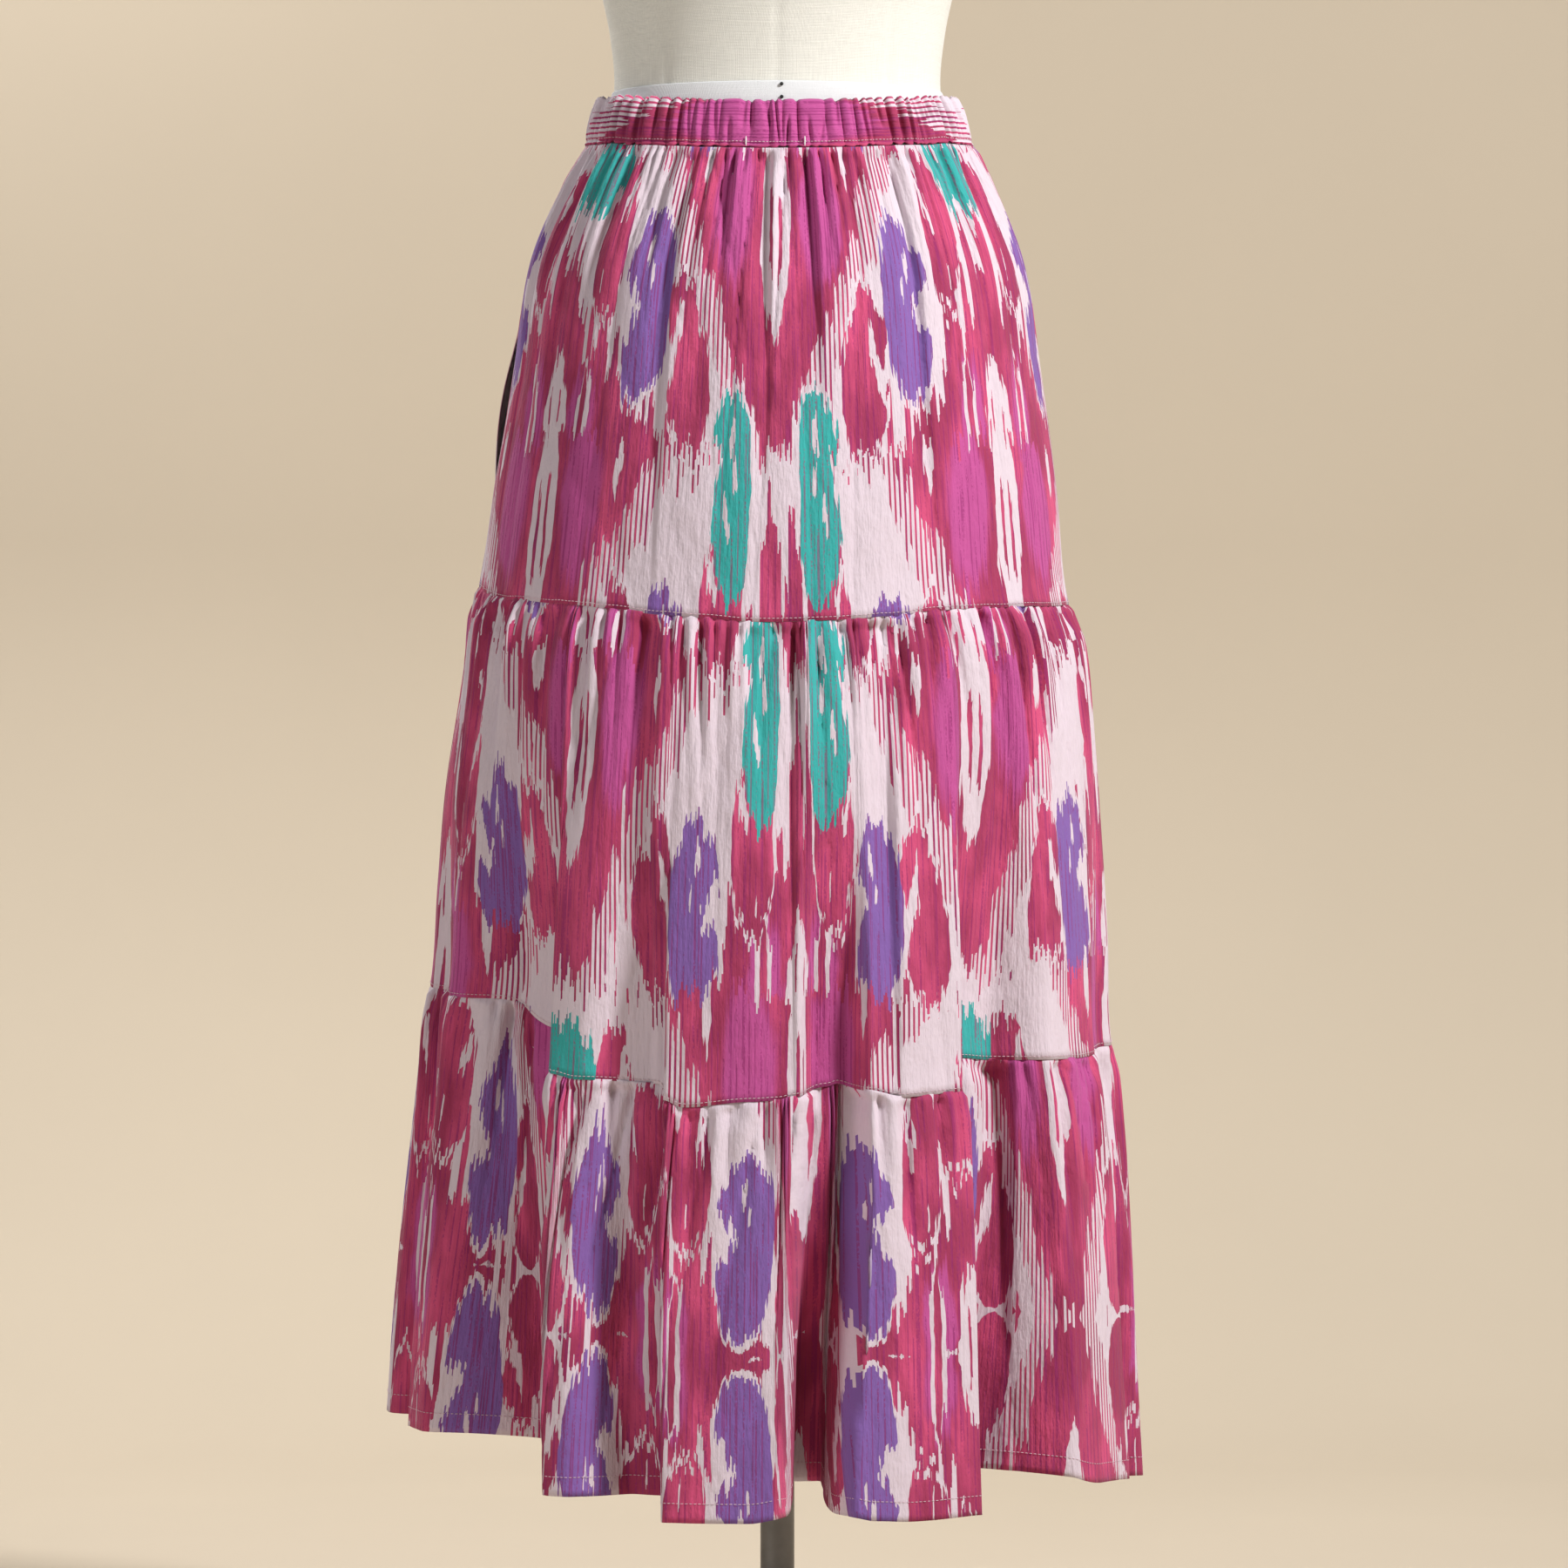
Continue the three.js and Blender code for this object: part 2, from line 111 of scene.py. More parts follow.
# The deep flutes of the lower tiers: angle at the lower seam and at the hem, the level where it starts,
# its depth at both, its width in degrees to the left and right, and how far its bottom leans sideways
FLUTES = [
    (-169, -168, 1.3, 14, 44, 12, 4, 10),
    (-147, -146, 1.2, 18, 58, 4, 13, -12),
    (-122, -123, 1.1, 24, 62, 12, 4, 12),
    (-101, -101, 1.3, 12, 44, 6, 9, 0),
    (-75, -75, 1.4, 7, 22, 6, 6, 0),
    (-43.5, -39, 1.05, 30, 72, 24, 4, 14),
    (-21.5, -19.5, 1.3, 13, 36, 12, 3.5, 9),
    (9.5, 5.8, 1.25, 26, 80, 6.4, 6.4, 0),
    (36.5, 36.5, 1.08, 28, 68, 4, 17, -14),
    (76, 78, 1.4, 7, 24, 7, 7, 0),
    (99, 100, 1.3, 12, 42, 6, 9, 0),
    (121, 122, 1.1, 24, 62, 4, 14, -12),
    (146, 147, 1.25, 16, 52, 10, 4, 11),
    (168, 168, 1.2, 24, 66, 5.5, 5.5, 0),
]

FLOOR_SHARE = 0.45  # the share of a flute's width that is its floor
UNDERCUT = 0.12  # how far a narrow side leans over the floor, as a share of the depth
NARROW = 5.0  # a side of up to this many degrees leans in full

# Pleats that fall from each tier's stitching: angle, depth, how far down in levels they fade, and their
# width in degrees to the left and right; a narrow side is a sharp crease
PLEATS = {
    "upper": [
        (-2.4, 9, 0.72, 6, 1.5), (8.6, 8.5, 0.62, 5.5, 1.5), (-13, 5, 0.42, 3.5, 1.8),
        (-25, 4.5, 1.2, 6, 1.3), (33, 4.5, 1.2, 6, 1.3), (-21, 4.5, 0.36, 1.8, 3.5),
        (-31, 5, 0.4, 3.5, 1.8), (19, 4.5, 0.38, 1.8, 3.5), (28, 4, 0.34, 3.2, 1.8),
        (38, 5, 0.46, 1.8, 3.8), (-47, 4, 0.4, 2, 4), (54, 4, 0.36, 4, 2), (-66, 4, 0.36, 2, 4),
        (70, 4, 0.4, 2, 4), (105, 5, 0.42, 4, 2), (126, 4.5, 0.45, 2, 4), (149, 6, 0.55, 5, 1.6),
        (171, 7, 0.6, 1.6, 5), (-164, 5, 0.5, 4.5, 1.6), (-140, 5, 0.45, 1.8, 4.5),
        (-113, 4.5, 0.4, 3.5, 2),
    ],
    "middle": [
        (-22.5, 6.5, 1.5, 9, 1.3), (2.8, 5.5, 1.5, 7, 1.1), (20, 7.5, 1.5, 9, 1.4),
        (-62, 6, 0.55, 3.6, 1.4), (-49, 5, 0.35, 1.4, 3), (-37, 6.5, 0.5, 3, 1.2),
        (-26, 5, 0.3, 1.2, 2.6), (-13.5, 6, 0.36, 2.8, 1.2), (-5, 5, 0.26, 1.1, 2.2),
        (4, 6, 0.34, 2.4, 1.1), (12, 5.5, 0.28, 1.1, 2.4), (22, 6.5, 0.45, 2.8, 1.2),
        (29, 5, 0.3, 1.2, 2.6), (43, 6, 0.5, 1.3, 3.2), (57, 6, 0.42, 3.2, 1.4),
        (74, 6, 0.5, 1.6, 3.6), (110, 7, 0.5, 3.5, 1.4), (134, 6, 0.4, 1.4, 3),
        (158, 7, 0.55, 3.2, 1.3), (179, 6, 0.4, 1.2, 2.8), (-157, 7, 0.5, 3, 1.3),
        (-133, 6, 0.4, 1.3, 3), (-110, 6, 0.45, 3.4, 1.4),
    ],
    "lower": [
        (-26, 6, 1.4, 7, 1.2), (13, 5.5, 1.4, 1.2, 6), (47, 6, 1.4, 8, 1.3), (-70, 6, 0.5, 1.4, 3),
        (-57, 6.5, 0.55, 3, 1.3), (-34, 6.5, 0.52, 2.6, 1.1), (-29, 5, 0.3, 1.1, 2.2),
        (-14, 6, 0.42, 1.1, 2.6), (-7.5, 5.5, 0.34, 2.4, 1.1), (-2, 5, 0.26, 1, 2),
        (17, 5.5, 0.3, 1.1, 2.2), (22, 6.5, 0.44, 2.4, 1.1), (27, 5, 0.3, 1.1, 2.2),
        (45, 6.5, 0.5, 1.2, 2.8), (55, 7, 0.6, 2.8, 1.2), (64, 6.5, 0.55, 1.2, 2.8),
        (84, 6, 0.5, 2.8, 1.4), (110, 7, 0.5, 1.3, 3), (133, 7, 0.55, 3, 1.3), (157, 7, 0.5, 1.3, 3),
        (179, 6, 0.4, 2.8, 1.3), (-157, 7, 0.5, 1.3, 3), (-134, 7, 0.5, 3, 1.3),
        (-112, 6, 0.5, 1.3, 3),
    ],
}

# Each tier's ridges over half of the skirt, from fine gathers to broad folds:
# (how many, how deep, the share of the tier over which they fade)
RIDGES = {
    "upper": [(42, 7.5, 0.1), (19, 8.0, 0.3), (7, 4.0, 0.8)],
    "middle": [(54, 9.0, 0.1), (24, 10.0, 0.3), (9, 5.0, 0.9)],
    "lower": [(58, 9.0, 0.1), (25, 10.0, 0.34), (10, 5.0, 1.2)],
}
# How far across and down the print each tier is cut from, the level along which a panel's columns are
# spaced evenly, the seed of its ridges, and the rows of its grid
PRINT_START = {"upper": (0.0, 0.0), "middle": (-12.0, 182.0), "lower": (-46.0, 467.0 + 1290.0)}
SPACED_AT = {"upper": 1.0, "middle": 1.9, "lower": 3.0}
SEEDS, BACK_SEED = {"upper": 11, "middle": 31, "lower": 51}, 100
ROWS = {"front": 92, "back": 80}

# The in-seam pocket at the -X side
POCKET_TOP, POCKET_BOTTOM, BAG_FOOT = 0.42, 0.77, 0.92
GAPE_BACK, GAPE_FRONT, GAPE_SPREAD = 4.5, 1.5, 22.0
BAG_THICKNESS, BAG_STEP, LEVEL_LENGTH = 1.6, 2.9, 327.0  # a step across, and the cloth's length for a level

# The dress form's height, half-width, and half-depths to the front and back
FORM = np.array([
    [860, 146, 98, 104],
    [874, 156, 106, 113],
    [925, 165, 115, 124],
    [985, 158, 112, 120],
    [1040, 139, 102, 107],
    [1080, 123.5, 93, 95],
    [1111, 117, 88, 88.5],
    [1128, 115, 86.5, 87],
    [1165, 118, 88, 90],
    [1215, 129, 98, 96],
    [1262, 139, 114, 100],
    [1300, 146, 122, 103],
    [1345, 153, 113, 106],
    [1395, 163, 96, 104],
    [1440, 172, 81, 94],
    [1470, 168, 69, 82],
    [1492, 142, 60, 71],
    [1508, 106, 54, 63],
    [1524, 73, 50, 57],
    [1546, 57, 47, 52],
    [1586, 53, 44, 49],
    [1593, 47, 38, 43],
])


FORM_SEAMS = (0, -42, 42, 90, -90, 180, 138, -138)  # degrees round the form


# ---------------------------------------------------------------- sizes and colours that a user may change


def colour_property(name, description, default):
    """A colour that a user may change."""
    return FloatVectorProperty(name=name, description=description, subtype="COLOR", default=default)


def length_property(name, description, default):
    """A length that a user may change, in metres."""
    return FloatProperty(name=name, description=description, default=default, unit="LENGTH")


class SkirtSettings(bpy.types.PropertyGroup):
    thickness: length_property("Cloth thickness", "Thickness of the cotton", 0.0006)
    columns: IntProperty(
        name="Columns", description="Grid columns across each front panel", default=420, min=40, max=440
    )
    ground: colour_property("Ground", "Pale pink ground of the print", (0.69, 0.58, 0.645))
    raspberry: colour_property("Raspberry", "Main colour of the print", (0.51, 0.048, 0.145))
    orchid: colour_property("Orchid", "Soft washes on the raspberry", (0.5, 0.08, 0.29))
    purple: colour_property("Purple", "Purple motifs", (0.22, 0.11, 0.38))
    teal: colour_property("Teal", "Teal motifs", (0.03, 0.39, 0.37))
    thread: colour_property("Thread", "Sewing thread", (0.82, 0.6, 0.68))


class FormSettings(bpy.types.PropertyGroup):
    linen: colour_property("Linen", "Cover of the form", (0.82, 0.8, 0.73))
    tape: colour_property("Tape", "Cotton tape round the waist", (0.86, 0.86, 0.87))
    metal: colour_property("Metal", "Pole and base", (0.2, 0.19, 0.18))
    pole_radius: length_property("Pole radius", "Radius of the pole", 0.012)


class StudioSettings(bpy.types.PropertyGroup):
    floor: colour_property("Floor", "Pale floor and sweep", (0.62, 0.53, 0.41))
    distance: length_property("Camera distance", "From the pole", 4.5)
    eye_height: length_property("Camera height", "Above the floor", 0.639)
    lens: FloatProperty(name="Lens", description="Focal length", default=146.7, subtype="DISTANCE_CAMERA")


# ---------------------------------------------------------------- the skirt's form


def smooth(x):
    """The eased step from 0 to 1: 3x squared less 2x cubed."""
    x = np.clip(x, 0, 1)
    return x * x * (3 - 2 * x)


def spline(x, xs, ys):
    """A cubic curve through the points (xs, ys), with the slope at each of the chord of its neighbours."""
    slope = np.gradient(ys, xs)
    i = np.clip(np.searchsorted(xs, x, side="right") - 1, 0, len(xs) - 2)
    width = xs[i + 1] - xs[i]
    t = np.clip((x - xs[i]) / width, 0, 1)
    lift = ys[i + 1] - ys[i]
    return ys[i] + lift * smooth(t) + width * t * (1 - t) * (slope[i] * (1 - t) - slope[i + 1] * t)


def quarter_ellipses(angle, left, right, front, back):
    """Points and outward normals of four quarter ellipses: across times the sine, along times the cosine."""
    s, c = np.sin(np.radians(angle)), np.cos(np.radians(angle))
    across, along = np.where(s < 0, left, right), np.where(c > 0, front, back)
    normal = np.stack([s / across, -c / along], -1)
    return np.stack([across * s, -along * c], -1), normal / np.linalg.norm(normal, axis=-1, keepdims=True)


def form_sizes(z, out=0.0):
    """The dress form's two half-widths and two half-depths at a height, or a little outside them."""
    return [spline(np.asarray(z, float), FORM[:, 0], FORM[:, k]) + out for k in (1, 1, 2, 3)]


def outline(level, angle):
    """The girth at a level, pressed in by each flute.

    A flute is a floor with an eased wall to either side, which leans over the floor where it is narrow.
    """
    sizes = [spline(level, GIRTHS[:, 0], GIRTHS[:, k]) for k in range(1, 5)]
    point, normal = quarter_ellipses(angle, *sizes)
    to_hem = np.clip(level - 2, 0, 1)
    inward, sideways = np.zeros(np.broadcast(level, angle).shape), 0.0
    for seam_at, hem_at, start, seam_depth, hem_depth, left, right, lean in FLUTES:
        centre = seam_at + (hem_at - seam_at) * to_hem
        turn = np.mod(angle - centre + 180, 360) - 180
        width = np.where(turn < 0, left, right)
        begun = smooth((level - start) / (2 - start)) * seam_depth
        depth = np.where(level < 2, begun, seam_depth + (hem_depth - seam_depth) * to_hem)
        press = 1 - smooth((np.abs(turn) / width - FLOOR_SHARE) / (1 - FLOOR_SHARE))
        overhang = UNDERCUT * to_hem * 4 * press * (1 - press) * np.minimum(1, NARROW / width) ** 2
        inward = inward + depth * press
        sideways = sideways + lean * depth * press / hem_depth - np.sign(turn) * depth * overhang
    tangent = np.stack([-normal[..., 1], normal[..., 0]], -1)
    return point - normal * inward[..., None] + tangent * sideways[..., None]


def outline_normal(level, angle):
    """The outward normal of the outline, square to the line between two near points on it."""
    along = outline(level, angle + 0.25) - outline(level, angle - 0.25)
    normal = np.stack([along[..., 1], -along[..., 0]], -1)
    return normal / np.linalg.norm(normal, axis=-1, keepdims=True)


def height(level, angle):
    """The height of a level: in proportion between two seams, each lifted round the skirt by the table."""
    i = np.clip(np.searchsorted(LIFTS[:, 0], angle, side="right") - 1, 0, len(LIFTS) - 2)
    here, following = LIFTS[i], LIFTS[i + 1]
    t = smooth((angle - here[..., 0]) / (following[..., 0] - here[..., 0]))
    lifted = []
    for k in range(4):
        lifted.append(SEAM_Z[k] + here[..., k + 1] + (following[..., k + 1] - here[..., k + 1]) * t)
    seam = np.clip(np.floor(level), 0, 2).astype(int)
    lifted = np.stack(np.broadcast_arrays(*[a + 0 * level for a in lifted]))
    top = np.take_along_axis(lifted, seam[None] + 0 * lifted[:1].astype(int), 0)[0]
    foot = np.take_along_axis(lifted, seam[None] + 1 + 0 * lifted[:1].astype(int), 0)[0]
    return top + (foot - top) * (level - seam)


def running(path):
    """The running length at each point of a path."""
    return np.concatenate([[0], np.cumsum(np.linalg.norm(np.diff(path, axis=0), axis=1))])


def even_angles(level, start, end, count):
    """Angles that divide the outline at a level into equal lengths, read off its running length."""
    fine = np.linspace(start, end, 2000)
    run = running(outline(np.full_like(fine, level), fine))
    return np.interp(np.linspace(0, run[-1], count + 1), run, fine)


def wander(x, knots, seed):
    """A smooth seeded curve through random values at evenly spaced knots, for x from 0 to 1."""
    values = np.random.default_rng(seed).normal(0, 1, knots)
    return spline(x, np.linspace(0, 1, knots), values)


def ridges(across, share, count, depth, reach, seed, roundness=0.6):
    """Rounded ridges with narrow creases between: a sine of the place across, to a power below one.

    Each ridge leans a little, and has a depth and a fade down the cloth of its own.
    """
    rng = np.random.default_rng(seed)
    lean = share * 0.9 * wander(across, max(4, count // 4), seed + 1)
    phase = across * count + 0.45 * wander(across, max(4, count // 2), seed + 2) + lean
    which = np.clip(np.floor(phase).astype(int) + 3, 0, count + 7)
    strength = rng.uniform(0.45, 1.25, count + 8)[which]
    length = (reach * rng.uniform(0.4, 1.9, count + 8))[which]
    ridge = np.abs(np.sin(np.pi * phase)) ** roundness
    return depth * strength * np.exp(-share / length) * (ridge - 0.6)


def band_tucks(across, up):
    """The creases of the gathered band: a bell-shaped trough for each, of its own depth, width and lean.

    It runs the whole height, or fades out on the way down or up.
    """
    rng = np.random.default_rng(17)
    places = np.cumsum(rng.uniform(0.5, 1.5, BAND_TUCKS))
    out = np.zeros(np.broadcast(across, up).shape)
    for at in places / places[-1]:
        depth, width, lean = rng.uniform(1.6, 4.6), rng.uniform(1.0, 2.0), rng.normal(0, 3.0)
        away = (np.mod(across - at + 0.5, 1) - 0.5) * BAND_ROUND - lean * (up - 0.5)
        reaches = [1.0, smooth((up - 0.25) / 0.4), smooth((0.75 - up) / 0.4)]
        out -= depth * reaches[rng.choice(3, p=[0.4, 0.35, 0.25])] * np.exp(-((away / width) ** 2))
    return out


def cloth_relief(tier, half, level, angle, share, across):
    """How far the cloth stands out from the outline: its three sizes of ridges, less the pleats.

    It is puckered a little at its foot and flat at its side seams.
    """
    seed = SEEDS[tier] + (BACK_SEED if half == "back" else 0)
    start = 0.15 + 0.85 * smooth(share / 0.02)
    out = np.zeros(np.broadcast(level, angle).shape)
    for k, (count, depth, reach) in enumerate(RIDGES[tier]):
        begun = start if k == 0 else smooth(share / 0.08)
        out += ridges(across, share, count, depth, reach, seed + 7 * k) * begun
    pucker = ridges(across, np.zeros_like(share), RIDGES[tier][0][0], 0.5, 1, seed + 40)
    if tier != "lower":
        out += pucker * np.exp(-(1 - share) / 0.03)
    for at, depth, end, left, right in PLEATS[tier]:
        turn = np.mod(angle - at + 180, 360) - 180
        away = np.abs(turn) / np.where(turn < 0, left, right)
        out -= depth * (1 - smooth(away)) * smooth(share / 0.03) * smooth((end - share) / end * 1.3)
    return out * smooth(np.minimum(across, 1 - across) / 0.025)


def pocket_gape(level, angle, is_back):
    """The pocket's mouth: a half sine down it, fading round the skirt, out at the back, in at the front."""
    share = np.clip((level - POCKET_TOP) / (POCKET_BOTTOM - POCKET_TOP), 0, 1)
    away = np.clip(np.abs(angle + 90) / GAPE_SPREAD, 0, 1)
    return np.sin(np.pi * share) * (1 - smooth(away)) * (GAPE_BACK if is_back else -GAPE_FRONT)


def skirt_point(level, angle, out):
    """A point in millimetres that stands out from the outline along its normal, at its level's height."""
    flat = outline(level, angle) + outline_normal(level, angle) * out[..., None]
    return np.concatenate([flat, height(level, angle)[..., None]], -1)


def tier_grid(tier, half, columns, rows):
    """A grid of points for one panel: rows down it, close together at the top, and columns across it."""
    index = TIERS.index(tier)
    ends = (-90, 90) if half == "front" else (90, 270)
    angle = even_angles(SPACED_AT[tier], *ends, columns)[None, :]
    angle = np.where(angle > 180, angle - 360, angle)
    even = np.linspace(0, 1, rows + 1)[:, None]
    share = 0.35 * even + 0.65 * even**1.7
    across = np.linspace(0, 1, columns + 1)[None, :]
    level, angle, share, across = np.broadcast_arrays(index + share, angle, share, across)
    out = cloth_relief(tier, half, level, angle, share, across) - 0.6
    if tier == "upper":
        out = out + pocket_gape(level, angle, half == "back")
    else:  # the gathers start behind the edge above
        out = out - 0.7 * (1 - smooth(share / 0.01))
    points = skirt_point(level, angle, out)
    if tier != "lower":
        points[-1, :, 2] -= 0.9
    return points


# ---------------------------------------------------------------- meshes


def make_object(name, points, faces, material, uv=None):
    """An object at the origin from points and faces, with a UV map of a pair for each, all in millimetres."""
    mesh = bpy.data.meshes.new(name)
    points, faces = np.reshape(points, (-1, 3)) * 0.001, np.asarray(faces, np.int32)
    mesh.vertices.add(len(points))
    mesh.vertices.foreach_set("co", points.astype(np.float32).ravel())
    mesh.loops.add(faces.size)
    mesh.loops.foreach_set("vertex_index", faces.ravel())
    mesh.polygons.add(len(faces))
    mesh.polygons.foreach_set("loop_start", np.arange(0, faces.size, faces.shape[1], dtype=np.int32))
    mesh.polygons.foreach_set("loop_total", np.full(len(faces), faces.shape[1], np.int32))
    if uv is not None:
        layer = mesh.uv_layers.new(name="cloth")
        pairs = np.stack(np.broadcast_arrays(*uv), -1).reshape(-1, 2) * 0.001
        layer.data.foreach_set("uv", pairs.astype(np.float32)[faces.ravel()].ravel())
    mesh.update(calc_edges=True)
    mesh.validate()
    mesh.polygons.foreach_set("use_smooth", np.full(len(mesh.polygons), True))
    mesh.materials.append(material)
    obj = bpy.data.objects.new(name, mesh)
    bpy.context.scene.collection.objects.link(obj)
    return obj


def grid_faces(rows, columns, closed=False):
    """Four-cornered faces of a grid of points, row after row, joined round where it is closed."""
    r, c = np.meshgrid(np.arange(rows - 1), np.arange(columns if closed else columns - 1), indexing="ij")
    here, nxt = r * columns + c, r * columns + (c + 1) % columns
    return np.stack([here, here + columns, nxt + columns, nxt], -1).reshape(-1, 4)


def finish_piece(obj, slot, *nodes):
    """Makes the piece ride on the part, and stand for the solids it replaces."""
    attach(obj, "root")
    if nodes:
        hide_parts(*nodes)
    return obj


def run_length(points):
    """The running length along the second axis of a grid of points."""
    return np.linalg.norm(np.diff(points, axis=1), axis=-1).sum(1)


def solidify(obj, thickness, inside_material):
    """Gives a sheet its thickness inwards, with the wrong side of the cloth on the inside."""
    obj.data.materials.append(inside_material)
    shell = obj.modifiers.new("thickness", "SOLIDIFY")
    shell.thickness, shell.offset = thickness, -1
    shell.material_offset = shell.material_offset_rim = 1


def bead(name, centre, radii, material):
    """An ellipsoid of nine rings of twelve points: a pin's head or a single stitch."""
    lat, lon = np.linspace(0.02, np.pi - 0.02, 9)[:, None], np.linspace(0, 2 * np.pi, 13)[None, :-1]
    ball = np.stack([np.sin(lat) * np.cos(lon), np.sin(lat) * np.sin(lon), -np.cos(lat) + 0 * lon], -1)
    return make_object(name, ball * radii + centre, grid_faces(9, 12, closed=True)[:, ::-1], material)


STITCH_ROUND = np.array([250.0**2, 220.0**2, np.inf])  # the girth's squared radii, which give its outward way


def stitch_row(name, path, pitch, length, width, material, lift=0.3):
    """Stitches along a path at equal steps: each is a flattened spindle of three rings of four points."""
    run = running(path)
    middle = np.arange(pitch, run[-1] - pitch, pitch)
    at = lambda s: np.stack([np.interp(s, run, path[:, k]) for k in range(3)], -1)
    a, b = at(middle - length / 2), at(middle + length / 2)
    along = (b - a) / np.linalg.norm(b - a, axis=1, keepdims=True)
    outward = a / STITCH_ROUND
    outward -= along * (outward * along).sum(1, keepdims=True)
    outward /= np.linalg.norm(outward, axis=1, keepdims=True)
    side = np.cross(along, outward)
    ring = np.array([[1, 0], [0, 0.7], [-1, 0], [0, -0.7]])[None] * width / 2
    points = []
    for t, size, raised in ((0.02, 0.5, 0.4), (0.5, 1.0, 1.0), (0.98, 0.5, 0.4)):
        centre = a + (b - a) * t + outward * lift * raised
        section = ring[..., :1] * side[:, None] + ring[..., 1:] * outward[:, None]
        points.append(centre[:, None] + size * section)
    base = np.array([[0, 1, 5, 4], [1, 2, 6, 5], [2, 3, 7, 6], [3, 0, 4, 7]])
    quads = np.concatenate([base, base + 4, [[3, 2, 1, 0], [8, 9, 10, 11]]])
    faces = (np.arange(len(middle))[:, None, None] * 12 + quads[None, :, ::-1]).reshape(-1, 4)
    return make_object(name, np.stack(points, 1), faces, material)


# ---------------------------------------------------------------- materials


def tint(colour, factor, lift=0.0):
    """The colour times a factor, and raised by a little."""
    return tuple(c * factor + lift for c in colour)


def math_node(operation):
    """What a Number does for an operator: it adds that Math node."""
    return lambda self, other: self.shader.math(operation, self, other)


class Number:
    """A number in a material's nodes. Arithmetic with it adds Math nodes, and a comparison gives 1 or 0."""

    def __init__(self, shader, socket):
        self.shader, self.socket = shader, socket

    def __rsub__(self, other):
        return self.shader.math("SUBTRACT", other, self)

    __add__ = math_node("ADD")
    __sub__ = math_node("SUBTRACT")
    __mul__ = math_node("MULTIPLY")
    __truediv__ = math_node("DIVIDE")
    __gt__ = math_node("GREATER_THAN")
    __lt__ = math_node("LESS_THAN")


class Shader:
    """A material whose nodes are linked as they are made: a socket or Number links, a value is set."""

    def __init__(self, name):
        self.material = bpy.data.materials.new(name)
        self.material.use_nodes = True
        self.tree = self.material.node_tree
        self.tree.nodes.clear()
        self.surface = self.tree.nodes.new("ShaderNodeBsdfPrincipled")
        self.output = self.tree.nodes.new("ShaderNodeOutputMaterial").inputs["Surface"]
        self.feed(self.output, self.surface.outputs["BSDF"])

    def feed(self, socket, value):
        value = getattr(value, "socket", value)
        if isinstance(value, bpy.types.NodeSocket):
            self.tree.links.new(value, socket)
        else:
            socket.default_value = (*value, 1) if socket.type == "RGBA" else value

    def node(self, kind, output=0, inputs=(), **settings):
        node = self.tree.nodes.new("ShaderNode" + kind)
        for key, value in settings.items():
            setattr(node, key, value)
        for key, value in dict(inputs).items():
            self.feed(node.inputs[key], value)
        return node.outputs[output]

    def math(self, operation, *values):
        return Number(self, self.node("Math", 0, dict(enumerate(values)), operation=operation))

    def vector(self, operation, *values, output="Vector"):
        return self.node("VectorMath", output, dict(enumerate(values)), operation=operation)

    def split(self, kind, value):
        """The three numbers of a vector, kind XYZ, or of a colour, kind Color."""
        return [Number(self, part) for part in self.node("Separate" + kind, 0, {0: value}).node.outputs]

    def mix(self, factor, a, b):
        return self.node("Mix", 2, {0: factor, 6: a, 7: b}, data_type="RGBA", clamp_factor=True)

    def ramp(self, value, low, high):
        """The eased step from 0 where the value is low to 1 where it is high."""
        inputs = {0: value, 1: low, 2: high, 3: 0.0, 4: 1.0}
        return Number(self, self.node("MapRange", 0, inputs, interpolation_type="SMOOTHSTEP"))

    def noise(self, place, scale, detail=2.0, rough=0.5):
        """Noise from 0 to 1 at a place that is first scaled along each axis."""
        scaled = self.vector("MULTIPLY", place, scale)
        inputs = {"Vector": scaled, "Scale": 1.0, "Detail": detail, "Roughness": rough}
        return Number(self, self.node("TexNoise", 0, inputs))

    def bump(self, height, distance, strength, normal=None):
        inputs = {"Height": height, "Distance": distance, "Strength": strength}
        if normal is not None:
            inputs["Normal"] = normal
        return self.node("Bump", 0, inputs)

    def set(self, **values):
        for key, value in values.items():
            self.feed(self.surface.inputs[key.replace("_", " ")], value)


# The print is a half-drop: a half repeat 176 mm wide and 215 mm high, flipped across in every other row.
# Each chart gives the top and the foot of the dye on the warp threads at a place across, in millimetres;
# between two places both run straight, and outside a chart's first and last place there is no dye.
HALF_WIDTH, HALF_HEIGHT = 176.0, 215.0
BACK_SHIFT = 2 * HALF_WIDTH * 1.37  # the back panels are cut from this much further across
# place across, the foot of the big medallion above, the top of the next one below
MEDALLIONS = [
    (0, 214, 300), (9, 208, 300), (25, 164, 290), (40, 122, 262), (54, 90, 236), (72, 50, 216),
    (88, 12, 200), (100, -30, 178), (122, -50, 138), (142, -50, 112), (160, -50, 92), (176, -50, 78),
]
PALE_SPINDLES = [
    [(0, -20, 142), (5, -20, 128), (9, 8, 104), (12, 40, 78)],
    [(163, 205, 212), (167, 182, 240), (172, 166, 240), (176, 162, 240)],
    [(60, -20, 24), (64, -20, 38), (67, -20, 20)],
]
SPINDLE_STREAKS = [[(2.5, 30, 96), (5.5, 38, 90)], [(170, 192, 230), (172, 190, 230)]]
